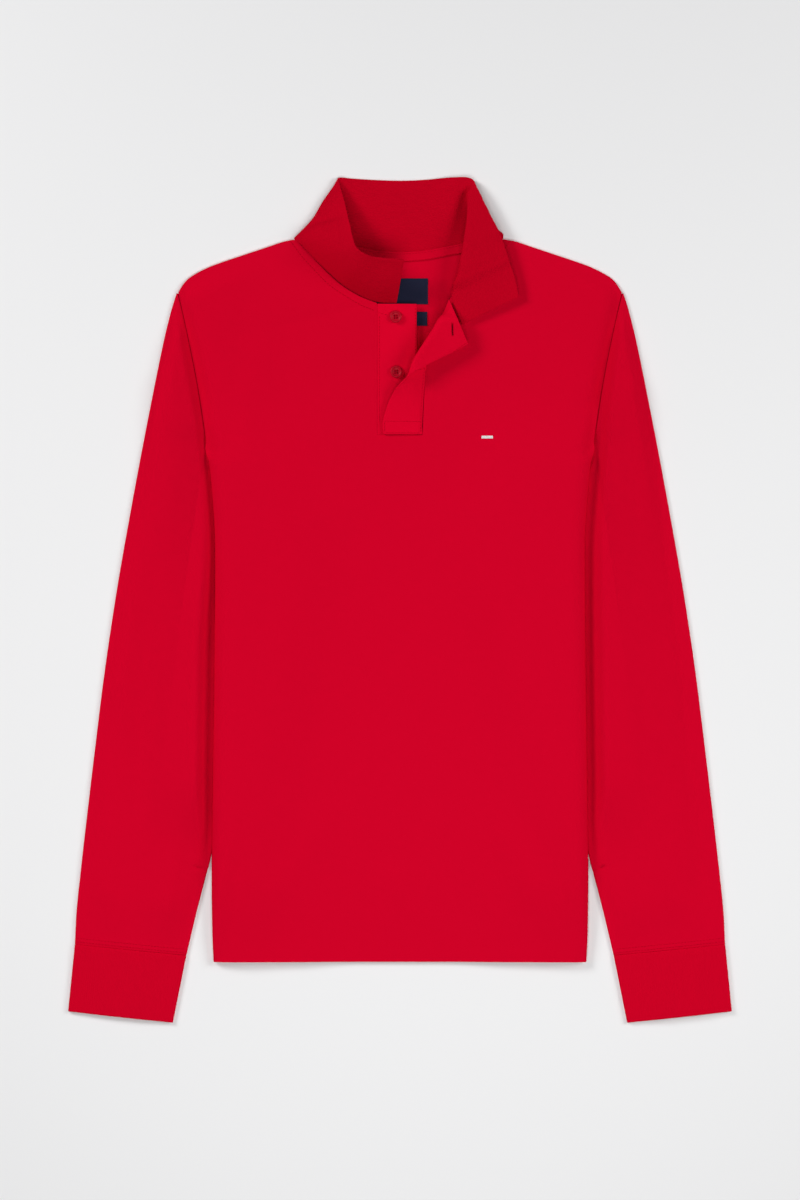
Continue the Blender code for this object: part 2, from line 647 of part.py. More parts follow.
def button(name, x, y):
    """A turned disc with a raised rim and four holes."""
    z = front_level(x, y) + CLOTH / 2 + GAP
    profile = (
        (0.0, 1.7), (4.0, 1.7), (4.7, BUTTON_H), (5.6, BUTTON_H), (BUTTON_R, 2.0),
        (BUTTON_R, 0.7), (5.2, 0.0), (0.0, 0.0),
    )
    mesh = bpy.data.meshes.new(name)
    form = bmesh.new()
    verts = [form.verts.new((r * MM, 0.0, h * MM)) for r, h in profile]
    for a, b in zip(verts, verts[1:]):
        form.edges.new((a, b))
    form.to_mesh(mesh)
    form.free()
    piece = bpy.data.objects.new(name, mesh)
    SHIRT.objects.link(piece)
    piece.location = (x * MM, y * MM, z * MM)
    screw = piece.modifiers.new("turned", "SCREW")
    screw.steps = BUTTON_STEPS
    screw.render_steps = BUTTON_STEPS
    screw.use_merge_vertices = True
    screw.merge_threshold = 0.00001
    for k in range(4):
        angle = BUTTON_TURN + math.pi * 0.5 * k
        bpy.ops.mesh.primitive_cylinder_add(
            vertices=6, radius=BUTTON_HOLE_R * MM, depth=4 * BUTTON_H * MM,
            location=(
                (x + BUTTON_HOLE_OFFSET * math.cos(angle)) * MM,
                (y + BUTTON_HOLE_OFFSET * math.sin(angle)) * MM,
                z * MM,
            ),
        )
        cutter = bpy.context.object
        cutter.name = f"{name}_hole_{k}"
        for owner in list(cutter.users_collection):
            owner.objects.unlink(cutter)
        CUTTERS.objects.link(cutter)
        cutter.hide_render = True
        cutter.display_type = "WIRE"
        cut = piece.modifiers.new(f"hole_{k}", "BOOLEAN")
        cut.operation = "DIFFERENCE"
        cut.solver = "EXACT"
        cut.object = cutter
    mesh.materials.append(MATERIALS["button"])
    return piece


for old in list(bpy.data.objects):
    bpy.data.objects.remove(old)

SHIRT = collection("polo_shirt")
CUTTERS = collection("cutters")
MATERIALS = {name: material(name) for name in COLOURS}

front()
back()
for label, side in (("right", -1), ("left", 1)):
    sleeve(f"sleeve_{label}", side)
    cuff(f"cuff_{label}", side)
collar()
placket_under()
placket_top()
neck_tape()
labels()
for name, (x, y) in BUTTONS.items():
    button(name, x, y)
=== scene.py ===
import math

import bmesh
import bpy
import numpy as np
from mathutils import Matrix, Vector
from mathutils.bvhtree import BVHTree


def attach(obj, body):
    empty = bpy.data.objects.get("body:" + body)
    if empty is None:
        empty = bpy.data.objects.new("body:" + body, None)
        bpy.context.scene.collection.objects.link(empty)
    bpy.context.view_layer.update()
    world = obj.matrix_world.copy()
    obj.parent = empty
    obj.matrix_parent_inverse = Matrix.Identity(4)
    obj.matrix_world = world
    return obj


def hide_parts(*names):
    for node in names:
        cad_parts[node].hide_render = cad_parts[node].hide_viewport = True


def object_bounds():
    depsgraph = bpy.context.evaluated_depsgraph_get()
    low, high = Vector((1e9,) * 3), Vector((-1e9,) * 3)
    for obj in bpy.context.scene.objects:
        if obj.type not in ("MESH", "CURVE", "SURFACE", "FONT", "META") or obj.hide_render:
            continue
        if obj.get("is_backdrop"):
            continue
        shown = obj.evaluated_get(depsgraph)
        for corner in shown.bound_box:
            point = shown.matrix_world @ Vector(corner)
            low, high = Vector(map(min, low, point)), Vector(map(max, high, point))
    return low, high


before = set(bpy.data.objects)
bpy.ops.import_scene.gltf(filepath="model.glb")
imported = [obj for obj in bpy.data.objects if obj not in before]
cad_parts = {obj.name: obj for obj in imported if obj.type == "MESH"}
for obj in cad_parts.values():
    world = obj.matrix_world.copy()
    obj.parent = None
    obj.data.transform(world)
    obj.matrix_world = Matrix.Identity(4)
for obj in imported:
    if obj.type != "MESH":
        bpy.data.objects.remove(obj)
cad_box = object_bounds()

# Lengths are millimetres; MM turns them into metres where a mesh is made.
# +X is to the right in the picture, +Y towards the collar, +Z up to the camera.

MM = 0.001

# Cloth and the room between two layers of it
CLOTH = 1.2
RIB = 1.6
TAPE = 0.8
LABEL = 0.6
GAP = 0.3
LAYER = CLOTH + GAP

# Body
HEM_Y = -361.4
SLIT_Y = 165.0
SLIT_X = 22.5
FOLD_R = 1.5 * LAYER
BACK_FOLD_R = 0.5 * LAYER
FOLD_ROOM = CLOTH / 2 + FOLD_R
TURN = 66.0
TURN_STARTS_Y = 136.0
BACK_TURN_STARTS_Y = 123.0
TURN_FULL_Y = 75.0
STRIPS_START_Y = 152.0
FRONT_TURN_STARTS_Y = 160.0
STRIP_MARGIN = 4.0
STRIP_RAMP = 12.0
FRONT_RAMP = 70.0
FRONT_START_Y = 200.0
BRIDGE_EDGE = 45.0
FULLNESS = 2.2
FULLNESS_ENDS_X = 170.0
FULLNESS_RAMP = 110.0
HEM_SHARE = 0.35
HEM_RAMP = 90.0
SHOULDER_RAMP = 50.0
# Rises of the front beside the opening: height, middle x, y, half width, half length
NECK_LIFT = (4.0, -25.0, 298.0, 55.0, 45.0)
LAPEL_LIFT = (4.5, 51.0, 303.0, 13.0, 26.0)

# Sleeves, where they pass under the body
ARMPIT = (115.0, 75.0)
SLEEVE_MEETS_EDGE = (189.0, -256.0)
ARMHOLE_TURNS = (190.4, 150.0)
SLEEVE_LIFT = 2 * LAYER
LIFT_MARGIN = 14.0
LIFT_RAMP = 22.0
SLEEVE_FULLNESS = 3.2
SLEEVE_FULL_FROM = 8.0
SLEEVE_FULL_RAMP = 45.0
CUFF_FULLNESS = 1.6
EDGE_RAMP = 35.0
SEAM_RAMP_X = 60.0
SEAM_RAMP_Y = 25.0
OUTER_RAMP = 12.0

# How far a strip that turns back on itself keeps from its own lower half
ROLL_ROOM = 4.0

# Small pieces
BUTTON_R = 6.0
BUTTON_H = 2.6
BUTTON_HOLE_R = 0.9
BUTTON_HOLE_OFFSET = 1.6
BUTTON_SIDES = 64
BUTTON_HOLE_SIDES = 20
BUTTON_TURN = 0.28 * math.pi
BUTTONS = {"button_1": (-4.2, 282.5), "button_2": (-3.7, 227.8)}
LABELS = {"label_main": (-28.0, 28.0, 295.5, 321.4), "label_size": (16.0, 27.3, 274.0, 288.0)}
TAPE_HALF = 69.0
TAPE_WIDTH = 8.5
# How far the tape stands past the neckline, and off the back
TAPE_OVER = 1.4
TAPE_LIFT = 0.25

# The wearer's right is at -X
SIDE_WORDS = {-1: "right", 1: "left"}

# Side of the body from the hem to the shoulder point: x, y
SIDE = (
    (186.2, -361.4), (187.4, -330.0), (188.0, -270.0), (187.0, -200.0), (186.0, -120.0),
    (185.0, -40.0), (184.5, 40.0), (185.5, 80.0), (191.0, 141.0), (201.4, 211.0),
    (212.0, 265.0), (221.5, 307.5),
)
# Shoulder line from the neck to the shoulder point: x, y
SHOULDER = (
    (103.4, 360.4), (116.0, 358.0), (134.0, 352.0), (152.0, 346.0), (170.0, 340.0),
    (187.0, 334.0), (200.0, 328.0), (210.0, 322.0), (216.0, 316.0), (221.5, 307.5),
)
# Front neckline from the placket to the shoulder, worn right side and worn left side: x, y
NECK_LEFT = (
    (22.5, 296.0), (39.1, 302.3), (57.0, 313.0), (70.4, 324.6), (85.5, 339.8),
    (97.1, 352.3), (103.4, 360.4),
)
NECK_RIGHT = (
    (50.3, 301.0), (59.0, 314.0), (70.4, 324.6), (85.5, 339.8), (97.1, 352.3), (103.4, 360.4),
)
# Edge of the front opening under each placket, upward: x, y
SLIT_LEFT = ((22.5, 165.0), (22.5, 230.0), (22.5, 296.0))
SLIT_RIGHT = ((22.5, 165.0), (24.0, 200.0), (26.0, 231.5), (33.0, 256.0), (41.0, 278.0), (50.3, 301.0))
# Back neckline from the middle to the shoulder: x, y
NECK_BACK = ((0.0, 346.0), (25.0, 347.8), (50.0, 352.6), (80.0, 357.6), (103.4, 360.4))
# Sleeve edges, upward from the cuff seam: x, y
SLEEVE_OUTER = (
    (324.9, -343.95), (323.2, -310.0), (319.0, -270.0), (314.5, -230.0), (305.0, -150.0),
    (295.0, -70.0), (283.0, 10.0), (269.0, 90.0), (254.0, 170.0), (238.0, 250.0),
    (229.5, 286.0), (223.4, 306.0),
)
SLEEVE_INNER = (
    (213.5, -355.05), (203.1, -311.2), (192.7, -271.2), (188.9, -256.6), (152.0, -90.5), (115.0, 75.0),
)
CUFF_OUTER = ((331.6, -411.0), (324.9, -344.0))
CUFF_INNER = ((227.0, -422.3), (213.5, -355.1))

# Collar, round the neck from its end on the folded-out side to its end on the standing side.
# Each section has its seam, the place where it turns over or bends, its free edge, and how far
# from the turn the bend is spread: seam x, y, z, turn x, y, z, free x, y, z, spread
COLLAR = (
    (61.7, 274.3, 9, 90, 288.4, 9.5, 118, 302, 10.5, 9),
    (56.2, 288.2, 11, 84, 298.5, 11.5, 115.4, 316.5, 11.2, 9),
    (51.6, 302.4, 12, 74, 313, 13.6, 111, 331, 11.6, 9),
    (54, 311.6, 8.4, 54, 316, 17, 108, 340.5, 11.8, 11),
    (61.5, 318.6, 4.2, 54.4, 325.5, 18.4, 105.6, 347.5, 11.8, 12),
    (69.3, 325.7, 3.6, 56, 337, 19, 103, 356, 11.6, 12),
    (84.4, 340.9, 3.4, 59, 359, 19, 97.4, 369.4, 11.6, 12),
    (97.2, 354.2, 3.4, 61.4, 377, 18, 90.4, 382.6, 11.4, 12),
    (102.4, 359.6, 3.2, 62.6, 385, 16.8, 87, 390, 11.2, 11),
    (102.4, 365.6, 2.8, 63.4, 392, 15.6, 83.6, 396.6, 10.8, 10),
    (96.4, 364.2, 1.4, 65.2, 406, 11, 77.4, 409.8, 9.4, 7),
    (74, 357.4, 0.8, 65.5, 404, 2.4, 70.6, 421, 5.6, 5),
    (50, 353.1, 0.8, 50, 388, 7, 52, 422, 3.4, 9),
    (25, 348.3, 0.8, 25.5, 384, 3, 26.5, 420, 0.8, 9),
    (0, 346.5, 0.8, 0.5, 383, 0.8, 1.5, 419, 0.8, 9),
    (-25, 348.3, 0.8, -25, 384, 0.8, -26, 419.8, 0.8, 9),
    (-50, 353.1, 0.8, -50, 388, 0.8, -48, 421.2, 0.8, 9),
    (-70, 356.7, 0.8, -66.9, 404, 1.6, -60.6, 421.8, 3.4, 9),
    (-84, 358.8, 0.8, -75.8, 401, 3.4, -60.4, 415, 6.2, 9),
    (-96, 360.2, 0.8, -85.4, 384.4, 4.6, -57, 403, 10, 10),
    (-105, 361.4, 2, -93.2, 372.8, 6.4, -53.4, 388, 17, 12),
    (-103.4, 358.8, 3.8, -84, 372, 14, -50.2, 374, 25, 14),
    (-96.2, 353.3, 4.6, -78, 361, 21, -47, 359.5, 32, 15),
    (-84.5, 341, 5.2, -69, 348, 25, -43.2, 348.6, 37, 15),
    (-69.4, 325.8, 6, -57.5, 334.6, 26, -35.6, 342, 40, 15),
    (-56.2, 314.3, 6.6, -47, 324.5, 26, -27.4, 338.6, 41, 15),
    (-38.5, 303.6, 7, -31.8, 316.4, 25, -18, 337.4, 41, 15),
    (-21.6, 297.6, 7, -16.6, 311, 24, -9, 337, 40, 15),
    (-3.4, 297, 6.4, -0.6, 311, 22, 4, 336, 37, 15),
)

# Upper placket from its sewn bottom to the neck: seam x, y, rise of the seam, turn x, y, rise of
# the turn, free edge x, y, rise, spread of the bend. A rise is over the front's own level.
PLACKET_TOP = (
    (22.2, 165.3, 0, 17.6, 165.3, 1.6, -16.6, 165.3, 2.4, 0.8),
    (22.2, 177, 0, 17.6, 177, 1.7, -17.4, 177, 3, 0.8),
    (23, 193, 0, 14, 192.8, 3.6, -13.3, 192.7, 4.4, 6),
    (23.5, 204, 0, 11, 203.4, 6, -8.7, 203, 6, 8),
    (24.3, 215, 0, 10, 213.6, 8.4, -3.2, 212, 9.4, 8),
    (25, 226, 0, 10.5, 225.5, 9.6, 4.6, 219, 12, 4),
    (26.6, 236.5, 0, 10.6, 237.4, 15, 12.5, 225.4, 15.4, 7),
    (29.4, 246.4, 0, 16, 248.3, 18.2, 20, 229.7, 14.4, 9),
    (32.6, 256.6, 0.2, 21.8, 257, 19.4, 28.6, 234.6, 13.4, 10),
    (37.6, 270.5, 0.4, 30.8, 270, 19, 43, 241.8, 12.2, 10),
    (43.6, 285.5, 0.8, 40, 281, 16.4, 57.2, 248.8, 10.8, 8),
    (48.9, 299.3, 3.4, 58.4, 276.6, 9.6, 67.8, 254.7, 9.6, 5),
)


def smoothstep(t):
    t = min(1.0, max(0.0, t))
    return t * t * (3.0 - 2.0 * t)


def smoothed(points, steps=8):
    """Points along a smooth curve through the given ones."""
    p = np.array(points, dtype=float)
    p = np.vstack([2 * p[0] - p[1], p, 2 * p[-1] - p[-2]])
    line = []
    for i in range(1, len(p) - 2):
        for k in range(steps):
            t = k / steps
            a, b, c, d = p[i - 1], p[i], p[i + 1], p[i + 2]
            line.append(
                0.5 * (2 * b + (c - a) * t + (2 * a - 5 * b + 4 * c - d) * t * t
                       + (3 * b - a - 3 * c + d) * t ** 3)
            )
    line.append(p[-2])
    return np.array(line)


class Path:
    """A smooth line read by the fraction of its length, or by its y."""

    def __init__(self, *pieces):
        self.line = np.vstack([smoothed(piece) for piece in pieces])
        steps = np.linalg.norm(np.diff(self.line, axis=0), axis=1)
        self.run = np.concatenate([[0.0], np.cumsum(steps)])
        self.length = self.run[-1]

    def at(self, fraction):
        place = fraction * self.length
        return np.array([np.interp(place, self.run, self.line[:, k]) for k in (0, 1)])

    def square_to(self, fraction):
        """Unit vector to the right of the way the line runs."""
        near = self.at(min(1.0, fraction + 0.01)) - self.at(max(0.0, fraction - 0.01))
        near = near / np.linalg.norm(near)
        return np.array([near[1], -near[0]])

    def x_at(self, y):
        return float(np.interp(y, self.line[:, 1], self.line[:, 0]))


SIDE_PATH = Path(SIDE)


def left_of(x, y, start, end):
    """How far a point lies to the left of the line from start to end."""
    along = np.array(end) - np.array(start)
    along = along / np.linalg.norm(along)
    return float((y - start[1]) * along[0] - (x - start[0]) * along[1])


def sleeve_rise(x, y, ramp=LIFT_RAMP):
    """Rise of the body over the sleeve that runs under it."""
    away = max(
        -left_of(abs(x), y, ARMPIT, SLEEVE_MEETS_EDGE),
        left_of(abs(x), y, ARMPIT, ARMHOLE_TURNS),
    )
    return SLEEVE_LIFT * smoothstep((LIFT_MARGIN + ramp - away) / ramp)


def folded(y):
    """1 where the side is a fold, 0 where it is the armhole seam."""
    return smoothstep((STRIPS_START_Y - y) / (STRIPS_START_Y - TURN_STARTS_Y))


def fold_x(y):
    """Where a panel ends or starts to turn under."""
    return SIDE_PATH.x_at(y) - FOLD_ROOM * folded(y)


def strips_rise(x, y, ramp=STRIP_RAMP, start_y=STRIPS_START_Y):
    """Rise of the body over the two turned-under strips."""
    inward = fold_x(y) - abs(x)
    reach = smoothstep((TURN + STRIP_MARGIN + ramp - inward) / ramp)
    return 2 * LAYER * smoothstep((start_y - y) / (start_y - TURN_STARTS_Y)) * reach


def back_level(x, y):
    """Middle of the back's wall."""
    return CLOTH / 2 + sleeve_rise(x, y) + strips_rise(x, y)


def front_base(x, y):
    """Middle of the front's wall without its fullness, bridging the steps that lie below it."""
    bridge = sleeve_rise(x, y, FRONT_RAMP) - sleeve_rise(x, y)
    bridge += strips_rise(x, y, FRONT_RAMP, FRONT_START_Y) - strips_rise(x, y)
    return back_level(x, y) + LAYER + bridge * smoothstep((fold_x(y) - abs(x)) / BRIDGE_EDGE)


def shoulder_y(x):
    return float(np.interp(abs(x), [p[0] for p in SHOULDER], [p[1] for p in SHOULDER]))


def lift(x, y, height, middle_x, middle_y, half_width, half_length):
    """A soft rounded rise."""
    return height * math.exp(
        -(((x - middle_x) / half_width) ** 2) - ((y - middle_y) / half_length) ** 2
    )


def hem_share(y):
    """How much of its fullness a panel keeps, less towards the hem."""
    return HEM_SHARE + (1 - HEM_SHARE) * smoothstep((y - HEM_Y) / HEM_RAMP)


def fullness_share(x, y):
    """How far the front may stand off the back."""
    sides = smoothstep((FULLNESS_ENDS_X - abs(x)) / FULLNESS_RAMP)
    return sides * hem_share(y) * smoothstep((shoulder_y(x) - y) / SHOULDER_RAMP)


def front_level(x, y):
    """Middle of the front's wall, with a little fullness over the back."""
    fullness = FULLNESS * fullness_share(x, y) + lift(x, y, *NECK_LIFT) + lift(x, y, *LAPEL_LIFT)
    return front_base(x, y) + fullness


def patch(bottom, top, inner, outer, u, v):
    """Point of the surface between four lines: u runs from inner to outer, v from bottom to top."""
    corners = (
        (1 - u) * (1 - v) * bottom(0.0) + u * (1 - v) * bottom(1.0)
        + (1 - u) * v * top(0.0) + u * v * top(1.0)
    )
    return (1 - v) * bottom(u) + v * top(u) + (1 - u) * inner(v) + u * outer(v) - corners


# A fold's reach in half widths, and its run past its ends and its fade there as shares of its run
FOLD_REACH = 3.0
FOLD_OVERRUN = 0.2
FOLD_FADE = 0.45


def folds(x, y, table):
    """Rise of soft folds: start x, y, end x, y, height, half width."""
    rise = 0.0
    for x0, y0, x1, y1, height, width in table:
        ax, ay = x1 - x0, y1 - y0
        run = math.hypot(ax, ay)
        along = ((x - x0) * ax + (y - y0) * ay) / run ** 2
        away = ((x - x0) * ay - (y - y0) * ax) / run / width
        if abs(away) < FOLD_REACH and -FOLD_OVERRUN < along < 1 + FOLD_OVERRUN:
            ends = smoothstep((along + FOLD_OVERRUN) / FOLD_FADE)
            ends *= smoothstep((1 + FOLD_OVERRUN - along) / FOLD_FADE)
            rise += height * math.exp(-away * away) * ends
    return rise


# Folds of the front, the back and the sleeves: start x, y, end x, y, height, half width
FRONT_FOLDS = (
    (112, 262, 172, 120, 0.9, 17), (150, 318, 184, 180, -0.4, 9),
    (-120, 305, -172, 120, 0.8, 16), (-150, 322, -180, 190, -0.3, 9),
    (95, -215, 152, -338, 0.9, 13), (118, -200, 172, -300, -0.5, 12),
    (-60, -200, -140, -320, 0.6, 16), (70, 60, 120, -130, 0.9, 20),
    (98, 75, 150, -110, -0.7, 16), (-140, 60, -128, -110, -0.5, 20),
    (-20, 130, -60, -60, 0.5, 34), (5, -265, -30, -345, 0.5, 13),
    (30, -232, 70, -330, -0.35, 11), (66, 236, 122, 206, -0.9, 12),
    (-42, 262, -104, 232, 0.5, 14),
)
BACK_FOLDS = (
    (-70, 210, -20, 40, 1, 16), (60, 180, 84, -60, 0.9, 18),
    (-10, -40, 30, -260, 1.1, 15), (-88, -30, -62, -240, 0.8, 14),
)
SLEEVE_FOLDS = {
    -1: (
        (197, 70, 203, -240, 2.6, 9), (224, 250, 238, 60, 1.4, 13),
        (233, 40, 262, -190, -1.5, 17), (262, 60, 286, -120, 1.5, 15),
        (206, -170, 234, -330, 1.6, 12), (300, -150, 296, -320, 1, 14),
    ),
    1: (
        (199, 60, 208, -230, 1.2, 12), (222, 240, 238, 60, 1.5, 14),
        (236, 120, 262, -120, 1.9, 17), (262, 90, 291, -150, -1.6, 15),
        (252, -90, 268, -318, 1.8, 17), (283, -120, 300, -330, -1.3, 13),
    ),
}


# The front rounds over towards its folds and sinks into its armhole seams
PUFF = 5.8
PUFF_ENDS = 115.0
ROLL_IN = 13.0
ARMHOLE_ROLL = 8.0
PUFF_SHOULDER_RAMP = 26.0
# The front's folds end before its sides
FOLDS_END_X = 176.0
FOLDS_RAMP = 24.0


def side_roll(x, y):
    """Rise of the front beside its folds and seams; inward is below 0 past the fold's start."""
    inward = fold_x(y) - abs(x)
    puff = PUFF * hem_share(y) * smoothstep((PUFF_ENDS - inward) / (PUFF_ENDS - ROLL_IN))
    puff *= smoothstep((shoulder_y(x) - y) / PUFF_SHOULDER_RAMP)
    reach = min(1.0, max(0.0, (ROLL_IN - inward) / (ROLL_IN + FOLD_R)))
    fold = (FOLD_R + puff) * math.sqrt(1 - reach * reach) - FOLD_R
    seam = puff * (1 - math.exp(-((inward / ARMHOLE_ROLL) ** 2)))
    return folded(y) * fold + (1 - folded(y)) * seam


def front_cloth(x, y):
    """The front as it lies, with its folds and its rounded sides."""
    edge = smoothstep((FOLDS_END_X - abs(x)) / FOLDS_RAMP)
    return front_level(x, y) + folds(x, y, FRONT_FOLDS) * edge * hem_share(y) + side_roll(x, y)


def back_cloth(x, y):
    """The back as it lies, with its folds."""
    return back_level(x, y) + folds(x, y, BACK_FOLDS) * fullness_share(x, y)


def refined(values, step):
    """The same values with even ones between them, no further apart than the step."""
    fine = [values[0]]
    for a, b in zip(values, values[1:]):
        count = max(1, math.ceil(abs(b - a) / step))
        fine += [a + (b - a) * (k + 1) / count for k in range(count)]
    return fine


# Rows of the body below the opening, and how far in from the side each column lies
LOWER_ROWS = refined((HEM_Y, HEM_Y + 0.8, HEM_Y + 3.0, 75.0), 4.6) + refined((75.0, SLIT_Y), 2.6)[1:]
SIDE_COLUMNS = refined((0.0, 1.0, 2.4, 4.4, 7.0, 10.0, 14.0), 4.0) + refined(
    (14.0, TURN, TURN + STRIP_MARGIN + STRIP_RAMP), 4.6
)[1:]
STRIP_COLUMNS = [inward for inward in SIDE_COLUMNS if 2.0 < inward <= TURN]
MIDDLE_COLUMNS = refined((0.0, SLIT_X, 78.0), 4.6)
BETWEEN_COLUMNS = 6
UPPER_ROWS = 52
ARC_STEPS = 9


def row_columns(y):
    """Distances from the middle of the columns of one row."""
    end = fold_x(y)
    near, far = MIDDLE_COLUMNS[-1], end - SIDE_COLUMNS[-1]
    between = [near + (far - near) * (k + 1) / (BETWEEN_COLUMNS + 1) for k in range(BETWEEN_COLUMNS)]
    return MIDDLE_COLUMNS + between + [end - inward for inward in reversed(SIDE_COLUMNS)]


def turned_row(y, above_back, radius, start_y, side):
    """Points of one row past the side: round the fold, then inward under the body."""
    arc = math.pi * radius
    reach = (TURN + arc) * smoothstep((start_y - y) / (start_y - TURN_FULL_Y))
    lengths = [arc * (k + 1) / ARC_STEPS for k in range(ARC_STEPS)]
    lengths += [arc + inward for inward in STRIP_COLUMNS]
    points = []
    for length in lengths:
        length = min(length, reach)
        angle = min(length, arc) / radius
        x = fold_x(y) + radius * math.sin(angle) - max(0.0, length - arc)
        over = side * min(x, fold_x(y))
        z = back_level(over, y) + above_back - radius * (1 - math.cos(angle))
        if above_back and angle < math.pi / 2:
            upper = back_level(over, y) + above_back + side_roll(x, y)
            z += folded(y) * (upper - z)
        points.append((side * x, y, z))
    return points


# Millimetres of cloth to one unit of the knit's coordinates
UV_MM = 100.0
# Radians that a wave texture turns in one unit at scale 1
WAVE_TURN = 20.0
KNIT_UNEVENNESS = 0.6
SHEEN_ROUGHNESS = 0.5
SHEEN_LIGHTER = 1.3


def own_material(name, colour, roughness, sheen=0.0, specular=0.0, bump=None):
    """Principled cloth; bump holds the wale and course pitch and the depth, in millimetres."""
    made = bpy.data.materials.new(name)
    made.use_nodes = True
    nodes, links = made.node_tree.nodes, made.node_tree.links
    shader = nodes["Principled BSDF"]
    shader.inputs["Base Color"].default_value = (*colour, 1.0)
    shader.inputs["Roughness"].default_value = roughness
    shader.inputs["Specular IOR Level"].default_value = specular
    shader.inputs["Sheen Weight"].default_value = sheen
    shader.inputs["Sheen Roughness"].default_value = SHEEN_ROUGHNESS
    tint = [min(1.0, c * SHEEN_LIGHTER) for c in colour]
    shader.inputs["Sheen Tint"].default_value = (*tint, 1.0)
    if bump:
        wale, course, depth = bump
        place = nodes.new("ShaderNodeUVMap")
        both = nodes.new("ShaderNodeMath")
        both.operation = "ADD"
        for k, (pitch, direction) in enumerate(((wale, "X"), (course, "Y"))):
            wave = nodes.new("ShaderNodeTexWave")
            wave.bands_direction = direction
            wave.inputs["Scale"].default_value = UV_MM * 2 * math.pi / (WAVE_TURN * pitch)
            wave.inputs["Distortion"].default_value = KNIT_UNEVENNESS
            wave.inputs["Detail"].default_value = 1.0
            links.new(place.outputs["UV"], wave.inputs["Vector"])
            links.new(wave.outputs["Fac"], both.inputs[k])
        relief = nodes.new("ShaderNodeBump")
        relief.inputs["Strength"].default_value = 1.0
        relief.inputs["Distance"].default_value = depth * MM
        links.new(both.outputs[0], relief.inputs["Height"])
        links.new(relief.outputs["Normal"], shader.inputs["Normal"])
    return made


RED = (0.62, 0.0009, 0.0200)
# Wale and course pitch and depth of the two knits
JERSEY_KNIT = (0.9, 0.7, 0.05)
RIB_KNIT = (2.1, 0.8, 0.10)
MATERIALS = {
    "jersey": own_material("knit jersey", RED, 0.95, 0.10, bump=JERSEY_KNIT),
    # The plackets take the body's red painted lighter: painted light on the raised plackets
    "placket": own_material("placket jersey painted lighter", (0.69, 0.0010, 0.0222), 0.95, 0.10, bump=JERSEY_KNIT),
    "rib": own_material("rib knit", (0.515, 0.0008, 0.0138), 0.95, 0.08, bump=RIB_KNIT),
    "cuff rib": own_material("cuff rib knit", (0.61, 0.0009, 0.0180), 0.95, 0.08, bump=RIB_KNIT),
    "tape": own_material("neck tape", (0.62, 0.001, 0.019), 0.9, 0.1, bump=(1.1, 1.1, 0.10)),
    "thread": own_material("red thread", (0.45, 0.0008, 0.012), 0.8, 0.1),
    "button": own_material("red button", (0.42, 0.0012, 0.014), 0.42, specular=0.10),
    "label": own_material("woven label", (0.012, 0.014, 0.036), 0.75, 0.05, 0.1, bump=(0.5, 0.5, 0.03)),
    # Near-black painted shade for the buttonhole's opening
    "slit": own_material("painted buttonhole shade", (0.10, 0.0004, 0.005), 0.9),
    "white": own_material("white thread", (0.80, 0.80, 0.79), 0.7, 0.1, 0.1),
}


CLOTHES = bpy.data.collections.new("polo_shirt_dressed")
STUDIO = bpy.context.scene.collection
STUDIO.children.link(CLOTHES)


def placed(name, data, where=CLOTHES):
    """A new object in a collection."""
    made = bpy.data.objects.new(name, data)
    where.objects.link(made)
    return made


def dress(piece, slot, *nodes):
    """Ties a piece to the part."""
    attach(piece, "root")
    if nodes:
        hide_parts(*nodes)
    return piece


RIM_ANGLE = math.radians(60)
WELD = 1e-6


class Sheet:
    """Grid of points in rows, joined into an open surface with the knit's own coordinates."""

    def __init__(self):
        self.mesh = bmesh.new()
        self.uv = self.mesh.loops.layers.uv.new("UVMap")

    def grid(self, rows, closed=False, flip=False, start=0.0, first=0.0, sides=1):
        """start and first are the knit coordinates of the first point of the first row."""
        points = np.array(rows)
        steps = np.linalg.norm(np.diff(points, axis=1), axis=2)
        run = start + np.concatenate([np.zeros((len(rows), 1)), np.cumsum(steps, axis=1)], axis=1)
        middle = points[:, points.shape[1] // 2]
        rise = np.concatenate([[0.0], np.cumsum(np.linalg.norm(np.diff(middle, axis=0), axis=1))])
        rise = first + rise
        if closed:
            back_home = np.linalg.norm(points[:, 0] - points[:, -1], axis=1)
            run = np.hstack([run, (run[:, -1] + back_home)[:, None]])
        verts = [[self.mesh.verts.new([c * MM for c in p]) for p in row] for row in rows]
        count = len(verts[0])
        for r in range(len(rows) - 1):
            for k in range(count if closed else count - 1):
                n = (k + 1) % count
                corners = [(r, k, k), (r, n, k + 1), (r + 1, n, k + 1), (r + 1, k, k)]
                if flip:
                    corners.reverse()
                face = self.mesh.faces.new([verts[i][j] for i, j, _ in corners])
                for loop, (i, _, j) in zip(face.loops, corners):
                    loop[self.uv].uv = (sides * run[i][j] / UV_MM, rise[i] / UV_MM)

    def finish(self, name, material, thickness, rounded=0.3):
        """Welds the grids, gives the surface its thickness, its rounded rims and its material."""
        bmesh.ops.remove_doubles(self.mesh, verts=self.mesh.verts, dist=WELD)
        mesh = bpy.data.meshes.new(name)
        self.mesh.to_mesh(mesh)
        self.mesh.free()
        piece = placed(name, mesh)
        wall = piece.modifiers.new("wall", "SOLIDIFY")
        wall.thickness = thickness * MM
        wall.offset = 0.0
        wall.use_quality_normals = True
        if rounded:
            rim = piece.modifiers.new("rim", "BEVEL")
            rim.width = rounded * MM
            rim.segments = 2
            rim.limit_method = "ANGLE"
            rim.angle_limit = RIM_ANGLE
        mesh.materials.append(MATERIALS[material])
        mesh.shade_smooth()
        return piece


